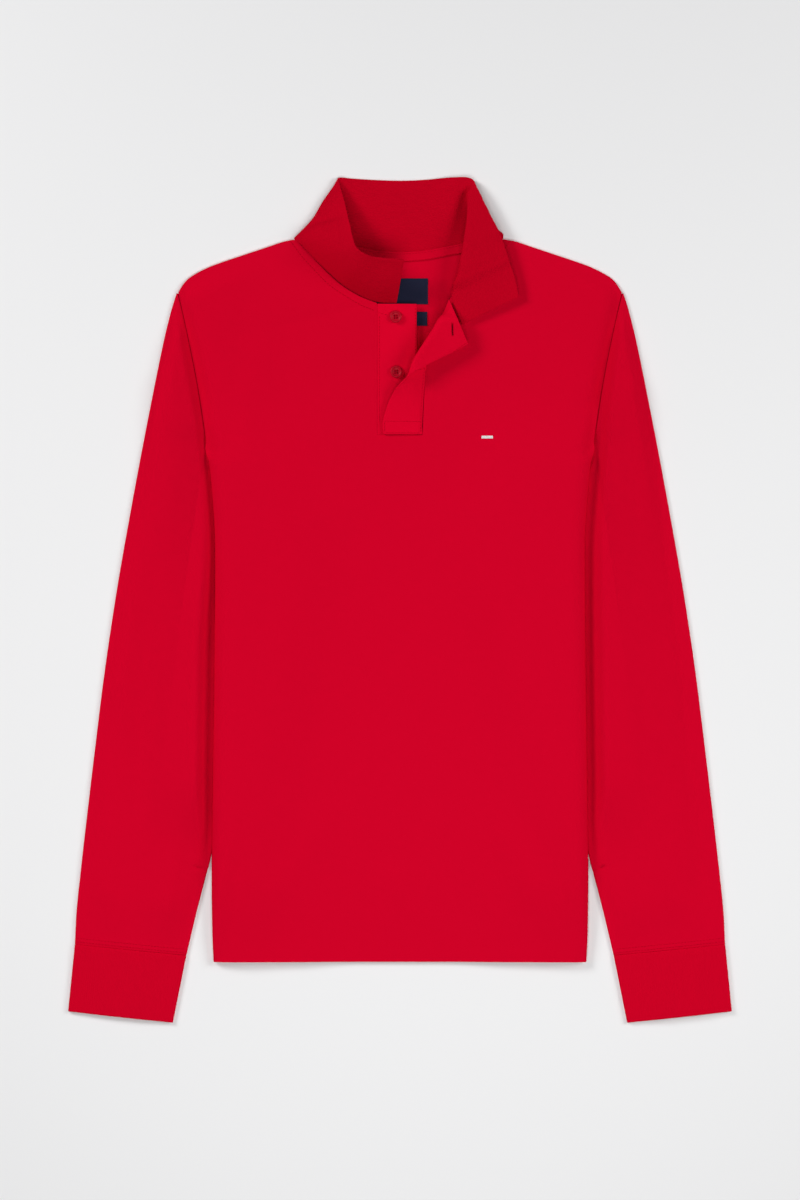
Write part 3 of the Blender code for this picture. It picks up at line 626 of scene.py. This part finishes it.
def body_panel(name, level, above_back, radius, turn_starts, inner_paths, top_path, first):
    """The front or the back: both halves, with their sides turned under."""
    sheet = Sheet()
    for side in (-1, 1):
        rows = []
        for y in LOWER_ROWS:
            row = [(side * x, y, level(side * x, y)) for x in row_columns(y)]
            rows.append(row + turned_row(y, above_back, radius, turn_starts, side))
        sheet.grid(rows, flip=side < 0, first=HEM_Y, sides=side)

        start = row_columns(SLIT_Y)[first:]
        shares = [(x - start[0]) / (start[-1] - start[0]) for x in start]
        top_y = SIDE[-1][1]
        low = lambda u: np.array([start[0] + u * (start[-1] - start[0]), SLIT_Y])
        rise = lambda v: SLIT_Y + v * (top_y - SLIT_Y)
        armhole = lambda v: np.array([fold_x(rise(v)), rise(v)])
        rows = []
        for k in range(UPPER_ROWS + 1):
            v = k / UPPER_ROWS
            plan = [patch(low, top_path, inner_paths[side].at, armhole, u, v) for u in shares]
            rows.append([(side * x, y, level(side * x, y)) for x, y in plan])
        sheet.grid(rows, flip=side < 0, start=start[0], first=SLIT_Y, sides=side)
    return sheet.finish(name, "jersey", CLOTH)


def front():
    inner = {-1: Path(SLIT_LEFT, NECK_LEFT), 1: Path(SLIT_RIGHT, NECK_RIGHT)}
    slit_column = min(range(len(MIDDLE_COLUMNS)), key=lambda k: abs(MIDDLE_COLUMNS[k] - SLIT_X))
    return body_panel(
        "front_panel", front_cloth, LAYER, FOLD_R, FRONT_TURN_STARTS_Y, inner, Path(SHOULDER).at,
        slit_column,
    )


def back():
    middle = Path(((0.0, SLIT_Y), (0.0, 250.0), (0.0, NECK_BACK[0][1])))
    neck, shoulder = Path(NECK_BACK), Path(SHOULDER)
    start = row_columns(SLIT_Y)
    corner = min(start, key=lambda x: abs(x - NECK_BACK[-1][0])) / start[-1]

    def top(u):
        return neck.at(u / corner) if u < corner else shoulder.at((u - corner) / (1 - corner))

    return body_panel(
        "back_panel", back_cloth, 0.0, BACK_FOLD_R, BACK_TURN_STARTS_Y,
        {-1: middle, 1: middle}, top, 0,
    )


SLEEVE_RINGS = 120
SLEEVE_COLUMNS = 48
# The share of the sleeve's upper end that runs along the armhole; the rest runs to the armpit
END_CORNER = 5 / 8
ARMHOLE_POINTS = 24
ROUND_STEPS = [k / 8 for k in range(1, 8)]
# Swell of each sleeve beside the body: height, how far from the body it starts, from which y down
SWELL = {-1: (9.5, 7.0, 60.0), 1: (10.0, 7.0, 240.0)}
SWELL_RAMP = 11.0
SWELL_ENDS = 80.0
SWELL_FULL_TO = 15.0
SWELL_START_RAMP = 120.0
SWELL_OUTER_RAMP = 30.0
# Towards the shoulder and towards the cuff only a share of it is left
SWELL_TOP_Y = 120.0
SWELL_TOP_RAMP = 150.0
SWELL_TOP_SHARE = 0.75
SWELL_LOW_Y = -255.0
SWELL_LOW_RAMP = 80.0
SWELL_LOW_SHARE = 0.25
# How far the sleeve's folds keep from the body and from its own edges
FOLDS_FROM_BODY = 2.0
FOLDS_BODY_RAMP = 10.0
FOLDS_OUTER_RAMP = 18.0
INNER_RAMP = 14.0
# A dent takes at most this share of the sleeve's own fullness
DENT_SHARE = 0.8
# How far an edge keeps from the one it is sewn to
SEAM = 0.02
# The sleeve comes down to its cuff's height over this length
SEWN_RAMP = 55.0
CUFF_FOLDS = ((262.0, -352.0, 268.0, -418.0, 0.8, 11.0), (300.0, -350.0, 292.0, -415.0, 0.6, 9.0))


def sleeve_swell(side, y, past_side, from_outer, from_inner):
    """Soft swell of the sleeve beside the body."""
    height, start, start_y = SWELL[side]
    beside = smoothstep((y - SWELL_LOW_Y) / SWELL_LOW_RAMP)
    start *= smoothstep((start_y - y) / SWELL_START_RAMP) * beside
    height *= SWELL_LOW_SHARE + (1 - SWELL_LOW_SHARE) * beside
    swell = height * smoothstep((past_side - start) / SWELL_RAMP)
    swell *= SWELL_TOP_SHARE + (1 - SWELL_TOP_SHARE) * smoothstep((SWELL_TOP_Y - y) / SWELL_TOP_RAMP)
    ends = smoothstep((SWELL_ENDS - past_side) / (SWELL_ENDS - SWELL_FULL_TO))
    swell *= ends * smoothstep(from_outer / SWELL_OUTER_RAMP)
    return swell * smoothstep(from_inner / INNER_RAMP)


def sleeve_top(side, x, y, from_outer, from_inner):
    """Rise of the sleeve's upper layer over its lower one."""
    past_side = x - SIDE_PATH.x_at(y)
    edges = smoothstep(from_outer / EDGE_RAMP) * smoothstep(from_inner / EDGE_RAMP)
    own = SLEEVE_FULLNESS * smoothstep((past_side - SLEEVE_FULL_FROM) / SLEEVE_FULL_RAMP) * edges
    at_seam = smoothstep((y - STRIPS_START_Y) / SEAM_RAMP_Y) * smoothstep(1 - past_side / SEAM_RAMP_X)
    rise = own + sleeve_rise(x, y) * at_seam * smoothstep(from_outer / OUTER_RAMP)
    clear = smoothstep((past_side - FOLDS_FROM_BODY) / FOLDS_BODY_RAMP)
    clear *= smoothstep(from_outer / FOLDS_OUTER_RAMP)
    clear *= smoothstep(from_inner / INNER_RAMP)
    swell = sleeve_swell(side, y, past_side, from_outer, from_inner)
    full = rise + swell + max(-DENT_SHARE * own, folds(x, y, SLEEVE_FOLDS[side]) * clear)
    corners = (SLEEVE_INNER[0], SLEEVE_OUTER[0])
    seam_y = np.interp(x, [p[0] for p in corners], [p[1] for p in corners])
    away = smoothstep((y - seam_y) / SEWN_RAMP)
    return full * away + (CUFF_FULLNESS + folds(x, y, CUFF_FOLDS)) * edges * (1 - away)


def tube_ring(upper, plan, out_way, in_way, radius, low, side):
    """One ring of a flattened tube: upper layer, inner fold, lower layer, outer fold."""
    points = list(upper)
    for t in ROUND_STEPS:
        x, y = plan[-1] + in_way * radius * math.sin(math.pi * t)
        points.append((x, y, low + radius * (1 + math.cos(math.pi * t))))
    points += [(x, y, low) for x, y in reversed(plan)]
    for t in ROUND_STEPS:
        x, y = plan[0] + out_way * radius * math.sin(math.pi * t)
        points.append((x, y, low + radius * (1 - math.cos(math.pi * t))))
    return [(side * x, y, z) for x, y, z in points]


def sleeve(name, side):
    """A flattened tube from the cuff to the armhole, its upper end cut along the armhole."""
    sheet = Sheet()
    outer, inner = Path(SLEEVE_OUTER), Path(SLEEVE_INNER)
    armhole_ys = np.linspace(SLEEVE_OUTER[-1][1] - GAP, ARMHOLE_TURNS[1], ARMHOLE_POINTS)
    armhole = [(SIDE_PATH.x_at(y) + SEAM, y) for y in armhole_ys]
    seam = Path(armhole)

    def end_at(u):
        if u < END_CORNER:
            return seam.at(u / END_CORNER)
        past = (u - END_CORNER) / (1 - END_CORNER)
        return np.array(armhole[-1]) * (1 - past) + np.array(ARMPIT) * past

    def cuff_at(u):
        return np.array(SLEEVE_OUTER[0]) * (1 - u) + np.array(SLEEVE_INNER[0]) * u

    radius = (CLOTH + GAP) / 2
    inset = CLOTH / 2 + radius

    def outer_fold(v):
        return outer.at(v) - outer.square_to(v) * inset

    def inner_fold(v):
        return inner.at(v) + inner.square_to(v) * inset

    rows = []
    shares = [c / SLEEVE_COLUMNS for c in range(SLEEVE_COLUMNS + 1)]
    low = CLOTH / 2
    for k in range(SLEEVE_RINGS + 1):
        v = k / SLEEVE_RINGS
        plan = [patch(cuff_at, end_at, outer_fold, inner_fold, u, v) for u in shares]
        width = np.linalg.norm(plan[-1] - plan[0])
        out_way, in_way = outer.square_to(v), -inner.square_to(v)
        points = []
        for share, (x, y) in zip(shares, plan):
            run = width * share
            points.append((x, y, low + 2 * radius + sleeve_top(side, x, y, run, width - run)))
        rows.append(tube_ring(points, plan, out_way, in_way, radius, low, side))
    sheet.grid(rows, closed=True, flip=side > 0)
    return sheet.finish(name, "jersey", CLOTH)


CUFF_RINGS = 26
CUFF_COLUMNS = 40


def cuff(name, side):
    """A flattened rib tube with two soft folds along it."""
    sheet = Sheet()
    radius = (RIB + GAP) / 2
    low = RIB / 2
    rows = []
    for k in range(CUFF_RINGS + 1):
        v = k / CUFF_RINGS
        outer = np.array(CUFF_OUTER[0]) * (1 - v) + np.array(CUFF_OUTER[1]) * v
        inner = np.array(CUFF_INNER[0]) * (1 - v) + np.array(CUFF_INNER[1]) * v
        across = (inner - outer) / np.linalg.norm(inner - outer)
        first = outer + across * (RIB / 2 + radius)
        last = inner - across * (RIB / 2 + radius)
        width = np.linalg.norm(last - first)
        plan = [first + (last - first) * c / CUFF_COLUMNS for c in range(CUFF_COLUMNS + 1)]
        points = []
        for c, (x, y) in enumerate(plan):
            run = width * c / CUFF_COLUMNS
            edges = smoothstep(run / EDGE_RAMP) * smoothstep((width - run) / EDGE_RAMP)
            rise = (CUFF_FULLNESS + folds(x, y, CUFF_FOLDS)) * edges
            points.append((x, y, low + 2 * radius + rise))
        rows.append(tube_ring(points, plan, -across, across, radius, low, side))
    sheet.grid(rows, closed=True, flip=side > 0)
    return sheet.finish(name, "cuff rib", RIB, 0.4)


# The bend of a strip takes at most this share of the way to its edges
BEND_LIMIT = 0.9


def section(seam, turn, free, spread, near_steps=5, arc_steps=12, far_steps=8):
    """A strip's cut: straight from the seam, rounded at the turn, straight to the free edge."""
    seam, turn, free = (np.array(p, dtype=float) for p in (seam, turn, free))
    to_seam, to_free = seam - turn, free - turn
    seam_run, free_run = np.linalg.norm(to_seam), np.linalg.norm(to_free)
    near = turn + to_seam * min(BEND_LIMIT, spread / seam_run)
    far = turn + to_free * min(BEND_LIMIT, spread / free_run)
    near[2] -= ROLL_ROOM * max(0.0, float(np.dot(to_seam, to_free)) / (seam_run * free_run))
    points = [seam + (near - seam) * k / near_steps for k in range(near_steps)]
    for k in range(arc_steps + 1):
        t = k / arc_steps
        points.append((1 - t) ** 2 * near + 2 * t * (1 - t) * turn + t * t * far)
    for k in range(far_steps):
        points.append(far + (free - far) * (k + 1) / far_steps)
    return points


# Where the folded-out leaf lies over the front, and how many points of a section it starts after
LEAF_X = 60.0
LEAF_BELOW_Y = 372.0
SEAM_POINTS = 9
# Free edge and upper end of the lower placket
UNDER_EDGE_X = 16.6
UNDER_TOP_Y = 295.5


def collar():
    """The rib collar, one strip from end to end."""
    sheet = Sheet()
    rows = []
    for row in smoothed(COLLAR, steps=6):
        points = []
        for k, (x, y, z) in enumerate(section(row[0:3], row[3:6], row[6:9], row[9])):
            if k > SEAM_POINTS and x > LEAF_X and y < LEAF_BELOW_Y:
                z = max(z, front_level(x, y) + CLOTH / 2 + GAP + RIB / 2)
            points.append((x, y, max(z, RIB / 2)))
        rows.append(points)
    sheet.grid(rows)
    return sheet.finish("collar_strip", "rib", RIB, 0.5)


def placket_top():
    """The placket with the buttonholes, its upper end turned outward."""
    sheet = Sheet()
    rows = []
    for row in smoothed(PLACKET_TOP, steps=7):
        sx, sy, s_rise, tx, ty, t_rise, fx, fy, f_rise, spread = row
        seam = (sx - SEAM, sy, front_level(sx, sy) + s_rise)
        turn = (tx, ty, front_level(sx, sy) + t_rise)
        free = (fx, fy, front_level(fx, fy) + f_rise)
        rows.append([tuple(p) for p in section(seam, turn, free, spread)])
    sheet.grid(rows, flip=True)
    # Its jersey is the body's red painted lighter, as painted light
    return sheet.finish("buttonhole_placket", "placket", CLOTH)


def placket_under():
    """The placket that carries the buttons."""
    sheet = Sheet()
    xs = refined((-SLIT_X + SEAM, UNDER_EDGE_X), 3.0)
    ys = refined((SLIT_Y + SEAM, UNDER_TOP_Y), 3.5)
    sheet.grid([[(x, y, front_level(x, y)) for x in xs] for y in ys])
    # Its jersey is the body's red painted lighter, as painted light
    return sheet.finish("button_placket", "placket", CLOTH)


def on_back(name, xs, ys, wall, material, top=None, lift=0.0):
    """A thin piece on the inside of the back."""
    sheet = Sheet()
    rows = []
    for y in ys:
        row = []
        for x in xs:
            py = y if top is None else top(x) - (ys[-1] - y)
            row.append((x, py, back_level(x, py) + CLOTH / 2 + GAP + wall / 2 + lift))
        rows.append(row)
    sheet.grid(rows)
    return sheet.finish(name, material, wall, 0.2)


def neck_tape():
    """The tape over the back neck seam."""
    neck = Path(NECK_BACK).line
    xs = refined((-TAPE_HALF, TAPE_HALF), 2.5)
    top = lambda x: float(np.interp(abs(x), neck[:, 0], neck[:, 1])) + TAPE_OVER
    ys = refined((0.0, TAPE_WIDTH + 1.0), 1.5)
    return on_back("back_neck_tape", xs, ys, TAPE, "tape", top, lift=TAPE_LIFT)


# Columns of the seam allowance from the edge outward, and how far out it may reach, growing upward;
# past the edge its darker thread red lies in the groove as painted shade
SEAM_COLUMNS = (-8.0, -4.0, 0.0, 1.2, 2.4)
SEAM_STARTS_Y = 112.0
SEAM_OUT_Y = 126.0
SEAM_OUT_RAMP = 14.0
SEAM_OUT = 3.0
SEAM_INSET = 0.6
SEAM_BELOW_TOP = 1.2


def armhole_seam_and_shade(side):
    """The seam allowance between front and back, under the armhole seam; its darker thread red,
    reaching past the edge into the groove, is partly painted shade.
    """
    sheet = Sheet()
    rows = []
    for y in refined((SEAM_STARTS_Y, SIDE[-1][1] - SEAM_BELOW_TOP), 5.0):
        edge = SIDE_PATH.x_at(y)
        row = []
        for out in SEAM_COLUMNS:
            reach = SEAM_OUT * smoothstep((y - SEAM_OUT_Y) / SEAM_OUT_RAMP) - SEAM_INSET
            x = edge + min(out, reach)
            row.append((side * x, y, back_level(min(x, edge), y) + LAYER / 2))
        rows.append(row)
    sheet.grid(rows, flip=side < 0)
    return sheet.finish(f"{SIDE_WORDS[side]}_armhole_seam_and_shade", "thread", 0.2, 0.0)


BUTTON_PROFILE = (
    (0.0, 1.55), (2.6, 1.6), (3.7, 1.75), (4.2, 2.1), (4.5, 2.45), (4.9, BUTTON_H), (5.4, 2.55),
    (5.8, 2.25), (BUTTON_R, 1.8), (BUTTON_R, 0.9), (5.8, 0.5), (5.2, 0.1), (4.6, 0.0), (0.0, 0.0),
)

# Thread of a button: its height over the underside, its arch, its strands and their radius
THREAD_OVER = 1.72
THREAD_RISE = 0.45
THREAD_SHIFTS = (-0.32, 0.0, 0.32)
THREAD_R = 0.19


def button(name, node, x, y):
    """A turned disc with a raised rim, four holes and two bars of thread."""
    z = front_level(x, y) + CLOTH / 2 + GAP
    mesh = bpy.data.meshes.new(name)
    form = bmesh.new()
    verts = [form.verts.new((r * MM, 0.0, h * MM)) for r, h in BUTTON_PROFILE]
    for a, b in zip(verts, verts[1:]):
        form.edges.new((a, b))
    form.to_mesh(mesh)
    form.free()
    piece = placed(name, mesh)
    piece.location = (x * MM, y * MM, z * MM)
    screw = piece.modifiers.new("turned", "SCREW")
    screw.steps = BUTTON_SIDES
    screw.render_steps = BUTTON_SIDES
    screw.use_merge_vertices = True
    screw.merge_threshold = 0.00001
    places, holes = [], []
    for k in range(4):
        angle = BUTTON_TURN + math.pi * 0.5 * k
        out = (BUTTON_HOLE_OFFSET * math.cos(angle), BUTTON_HOLE_OFFSET * math.sin(angle))
        places.append((x + out[0], y + out[1], z))
        bpy.ops.mesh.primitive_cylinder_add(
            vertices=BUTTON_HOLE_SIDES, radius=BUTTON_HOLE_R * MM, depth=4 * BUTTON_H * MM,
            location=[c * MM for c in places[k]],
        )
        holes.append(bpy.context.object)
        cut = piece.modifiers.new(f"hole_{k}", "BOOLEAN")
        cut.operation = "DIFFERENCE"
        cut.solver = "EXACT"
        cut.object = holes[k]
    seen = piece.evaluated_get(bpy.context.evaluated_depsgraph_get())
    turned = bpy.data.meshes.new_from_object(seen)
    piece.modifiers.clear()
    piece.data = turned
    for hole in holes:
        bpy.data.objects.remove(hole)
    piece.data.materials.clear()
    piece.data.materials.append(MATERIALS["button"])
    piece.data.shade_smooth()
    piece.data.set_sharp_from_angle(angle=math.radians(40))
    dress(piece, "button", node)

    threads = Threads(f"{name}_thread")
    over = z + THREAD_OVER
    for a, b in ((places[0], places[1]), (places[3], places[2])):
        a, b = np.array(a[:2]), np.array(b[:2])
        across = np.array([-(b - a)[1], (b - a)[0]]) / np.linalg.norm(b - a)
        for shift in THREAD_SHIFTS:
            line = []
            for t in np.linspace(0.0, 1.0, 9):
                px, py = a + (b - a) * t + across * shift
                rise = THREAD_RISE * math.sin(math.pi * t) - (2 * t - 1) ** 6
                line.append((px, py, over + rise))
            threads.strand(line, THREAD_R)
    dress(threads.finish("thread"), "button")
    return piece


# A row's first stitch, the stitches' length and the room between them
FIRST_STITCH = 0.4
STITCH = 2.3
STITCH_SKIP = 0.8
# How far a stitch stands and its ends sink, and how thin they get, in its radius
STITCH_STANDS = 0.35
STITCH_SINKS = 0.6
STRAND_END = 0.45


class Threads:
    """Many short rounded strands in one mesh."""

    def __init__(self, name):
        self.name = name
        self.verts = []
        self.faces = []

    def strand(self, line, radius, sides=6):
        line = [np.array(p, dtype=float) for p in line]
        rings = []
        for i, p in enumerate(line):
            way = line[min(i + 1, len(line) - 1)] - line[max(i - 1, 0)]
            way = way / np.linalg.norm(way)
            up = np.array([0.0, 0.0, 1.0])
            right = np.cross(way, up)
            right = right / np.linalg.norm(right)
            up = np.cross(right, way)
            ends = STRAND_END if i in (0, len(line) - 1) else 1.0
            ring = []
            for k in range(sides):
                angle = 2 * math.pi * k / sides
                ring.append(len(self.verts))
                offset = right * math.cos(angle) + up * math.sin(angle)
                self.verts.append(tuple((p + offset * radius * ends) * MM))
            rings.append(ring)
        for low, high in zip(rings, rings[1:]):
            for k in range(sides):
                n = (k + 1) % sides
                self.faces.append((low[k], low[n], high[n], high[k]))
        self.faces.append(tuple(reversed(rings[0])))
        self.faces.append(tuple(rings[-1]))

    def row(self, ground, path, radius=0.2, up=0.0):
        """Stitches along a path laid on the cloth below."""
        path = smoothed(path, 6)
        steps = np.linalg.norm(np.diff(path, axis=0), axis=1)
        run = np.concatenate([[0.0], np.cumsum(steps)])
        start = FIRST_STITCH
        while start + STITCH < run[-1]:
            line = []
            for t in (0.0, 0.15, 0.5, 0.85, 1.0):
                s = start + STITCH * t
                ways = [np.array([np.interp(s + d, run, path[:, k]) for k in (0, 1)]) for d in (-1, 1)]
                x, y = (ways[0] + ways[1]) / 2
                z = ground(x, y)
                if z is None:
                    line = []
                    break
                stands = STITCH_STANDS if 0.0 < t < 1.0 else -STITCH_SINKS
                line.append((x, y, z + up + radius * stands))
            if line:
                self.strand(line, radius)
            start += STITCH + STITCH_SKIP

    def finish(self, material):
        mesh = bpy.data.meshes.new(self.name)
        mesh.from_pydata(self.verts, [], self.faces)
        mesh.materials.append(MATERIALS[material])
        mesh.shade_smooth()
        return placed(self.name, mesh)


def ground_of(piece, from_below=False):
    """Height of the uppermost, or lowest, surface of a piece at x, y."""
    tree = BVHTree.FromObject(piece, bpy.context.evaluated_depsgraph_get())
    start_z, way = (-0.05, 1.0) if from_below else (0.2, -1.0)

    def at(x, y):
        hit = tree.ray_cast(Vector((x * MM, y * MM, start_z)), Vector((0.0, 0.0, way)))[0]
        return None if hit is None else hit.z / MM

    return at


def stitched(name, ground, paths, radius=0.2):
    """Rows of stitches on one ground, as a piece of their own."""
    threads = Threads(name)
    for path in paths:
        threads.row(ground, path, radius)
    return dress(threads.finish("thread"), "jersey")


front_piece = dress(front(), "jersey", "front")
back_piece = dress(back(), "jersey", "back")
sleeves = {}
seams = [dress(armhole_seam_and_shade(side), "jersey") for side in SIDE_WORDS]
for side, word in SIDE_WORDS.items():
    sleeves[side] = dress(sleeve(f"{word}_sleeve", side), "jersey", f"sleeve_{word}")
    dress(cuff(f"{word}_cuff", side), "rib", f"cuff_{word}")
collar_piece = dress(collar(), "rib", "collar")
under_piece = dress(placket_under(), "jersey", "placket_under")
top_piece = dress(placket_top(), "jersey", "placket_top")
tape_piece = dress(neck_tape(), "jersey", "neck_tape")
for node, (x0, x1, y0, y1) in LABELS.items():
    xs, ys = refined((x0, x1), 2.0), refined((y0, y1), 2.0)
    dress(on_back(f"{node}_woven", xs, ys, LABEL, "label"), "label", node)
for node, (x, y) in BUTTONS.items():
    button(f"{node}_disc", node, x, y)

# Topstitching round the neck, outside the collar seam: x, y
NECK_STITCH_R = 0.3
NECK_STITCH_LEFT = (
    (-110.0, 359.0), (-107.4, 355.9), (-99.0, 344.3), (-86.0, 330.0), (-72.1, 315.7), (-57.0, 305.0),
    (-40.0, 294.6), (-29.3, 290.2), (-24.0, 287.9),
)
NECK_STITCH_RIGHT = ((110.0, 358.5), (99.0, 344.3), (85.0, 329.0), (73.5, 316.5), (63.0, 303.0))

on_front = ground_of(front_piece)
neck_lines = (NECK_STITCH_LEFT, NECK_STITCH_RIGHT)
front_thread = stitched("front_topstitching", on_front, neck_lines, radius=NECK_STITCH_R)

# Two rows above each cuff seam: their heights over it, and how far in they start
SLEEVE_STITCH_RISES = (2.6, 6.2)
SLEEVE_STITCH_IN = 1.5
UNDERSIDE_STITCH_R = 0.14
UNDERSIDE_STITCH_UP = 0.05

for side in SIDE_WORDS:
    threads = Threads(f"{SIDE_WORDS[side]}_sleeve_topstitching")
    top = ground_of(sleeves[side])
    low = ground_of(sleeves[side], from_below=True)
    outer, inner = SLEEVE_OUTER[0], SLEEVE_INNER[0]
    middle = ((outer[0] + inner[0]) / 2, (outer[1] + inner[1]) / 2)
    for rise in SLEEVE_STITCH_RISES:
        line = [
            (side * (outer[0] - SLEEVE_STITCH_IN), outer[1] + rise),
            (side * middle[0], middle[1] + rise),
            (side * (inner[0] + SLEEVE_STITCH_IN), inner[1] + rise),
        ]
        threads.row(top, line)
        threads.row(low, line, UNDERSIDE_STITCH_R, UNDERSIDE_STITCH_UP)
    dress(threads.finish("thread"), "jersey")

UNDER_STITCHES = (
    ((-20.6, 178.0), (-20.6, 230.0), (-20.6, 284.0)), ((-22.0, 287.0), (-18.6, 285.7), (-11.4, 284.0)),
    ((15.2, 205.0), (15.2, 250.0), (15.2, 294.0)),
)
under_thread = stitched("button_placket_stitching", ground_of(under_piece), UNDER_STITCHES)

TOP_STITCHES = (
    ((-16.4, 178.3), (2.0, 178.3), (20.6, 178.0)), ((-15.4, 177.4), (-15.4, 172.0), (-15.3, 167.2)),
    ((-15.0, 167.0), (3.0, 166.9), (20.6, 166.8)),
    ((20.8, 167.2), (20.9, 190.0), (22.6, 215.0), (24.6, 232.0)),
    ((14.0, 227.2), (24.0, 231.4), (36.0, 237.8), (50.0, 244.8), (65.8, 255.8)),
)
on_top = ground_of(top_piece)
top_thread = stitched("buttonhole_placket_stitching", on_top, TOP_STITCHES)

TAPE_STITCH_R = 0.16
tape_lines = []
for inward in (0.4, TAPE_WIDTH - 1.0):
    line = [(x, y - inward) for x, y in Path(NECK_BACK).line if x < TAPE_HALF - 1.0]
    line = [(-x, y) for x, y in reversed(line)] + line[1:]
    tape_lines.append(line[::4])
tape_thread = stitched("tape_stitching", ground_of(tape_piece), tape_lines, radius=TAPE_STITCH_R)

# Buttonhole on the turned-out end of the placket, with a near-black strand of painted shade in its
# opening, and a plain bar of satin stitch on the chest
hole_thread = Threads("buttonhole")
HOLE_FROM = (52.3, 262.1)
HOLE_TO = (51.9, 275.5)
HOLE_HALF = 1.15
HOLE_STITCHES = 30
STITCH_UP = 0.1


def hole_at(t):
    """A point along the buttonhole."""
    return [HOLE_FROM[i] + (HOLE_TO[i] - HOLE_FROM[i]) * t for i in (0, 1)]


for k in range(HOLE_STITCHES):
    hx, hy = hole_at(k / (HOLE_STITCHES - 1))
    for way in (-1, 1):
        ends = [(hx + way * 0.25, hy), (hx + way * HOLE_HALF, hy)]
        heights = [on_top(x, y) for x, y in ends]
        if None not in heights:
            hole_thread.strand([(x, y, z + STITCH_UP) for (x, y), z in zip(ends, heights)], 0.24)
hole_thread = dress(hole_thread.finish("thread"), "jersey")
# A near-black strand along the buttonhole: painted shade in its opening
slit_shade_strand = Threads("buttonhole_painted_shade")
slit_shade_line = []
for t in (0.06, 0.3, 0.5, 0.7, 0.94):
    hx, hy = hole_at(t)
    slit_shade_line.append((hx, hy, on_top(hx, hy) + STITCH_UP))
slit_shade_strand.strand(slit_shade_line, 0.5)
slit_shade_strand = dress(slit_shade_strand.finish("slit"), "jersey")

bar = Threads("chest_bar")
BAR_X = (81.5, 92.5)
BAR_Y = 162.6
BAR_HALF = 1.5
BAR_STITCHES = 34
for k in range(BAR_STITCHES):
    x = BAR_X[0] + (BAR_X[1] - BAR_X[0]) * k / (BAR_STITCHES - 1)
    line = [(x + 0.1 * s, BAR_Y + s * BAR_HALF) for s in (-1.0, -0.8, -0.3, 0.3, 0.8, 1.0)]
    rises = (-0.1, 0.22, 0.34, 0.34, 0.22, -0.1)
    bar.strand([(px, py, on_front(px, py) + h) for (px, py), h in zip(line, rises)], 0.19)
bar_piece = dress(bar.finish("white"), "label")

floor_material = own_material("floor", (0.85, 0.85, 0.855), 0.9)
floor_mesh = bpy.data.meshes.new("floor")
FLOOR_REACH = 20.0
floor_mesh.from_pydata(
    [(x * FLOOR_REACH, y * FLOOR_REACH, 0.0) for x, y in ((-1, -1), (1, -1), (1, 1), (-1, 1))],
    [], [(0, 1, 2, 3)],
)
floor_mesh.materials.append(floor_material)
floor = placed("studio_floor", floor_mesh, STUDIO)
floor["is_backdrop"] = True

# Camera and studio light, in metres and watts
CAMERA_HEIGHT = 3.0
CAMERA_SENSOR = 36.0
CAMERA_LENS = 90.0
WORLD_LIGHT = 0.06

world = bpy.data.worlds.new("studio")
bpy.context.scene.world = world
world.use_nodes = True
background = world.node_tree.nodes["Background"].inputs
background["Color"].default_value = (1.0, 1.0, 1.0, 1.0)
background["Strength"].default_value = WORLD_LIGHT


def panel(name, place, aim, size, power):
    """A soft rectangular lamp that the camera doesn't see."""
    lamp = bpy.data.lights.new(name, "AREA")
    lamp.shape = "RECTANGLE"
    lamp.size, lamp.size_y = size
    lamp.energy = power
    holder = placed(name, lamp, STUDIO)
    holder.location = place
    holder.rotation_euler = (Vector(aim) - Vector(place)).to_track_quat("-Z", "Y").to_euler()
    holder.visible_camera = False


panel("overhead", (0.0, -0.55, 1.6), (0.0, -0.55, 0.0), (0.9, 0.9), 14.0)
panel("left", (-2.2, 1.4, 1.5), (0.0, 0.0, 0.0), (0.9, 0.9), 55.0)
panel("right", (2.3, 0.55, 1.5), (0.0, 0.0, 0.0), (1.1, 1.1), 38.0)

camera = bpy.data.cameras.new("camera")
camera.sensor_fit = "VERTICAL"
camera.sensor_height = CAMERA_SENSOR
camera.lens = CAMERA_LENS
camera.clip_end = 50.0
eye = placed("camera", camera, STUDIO)
eye.location = (0.0, 0.0, CAMERA_HEIGHT)
bpy.context.scene.camera = eye
bpy.context.scene.view_settings.view_transform = "Standard"
bpy.context.scene.view_settings.look = "None"


def plain(value):
    """Lists and numbers that JSON can write."""
    if hasattr(value, "items"):
        return {key: plain(item) for key, item in value.items()}
    if hasattr(value, "__len__") and not isinstance(value, str):
        return [plain(item) for item in value]
    return value if isinstance(value, str) else float(value)


{"cad": plain(cad_box), "visual": plain(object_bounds())}
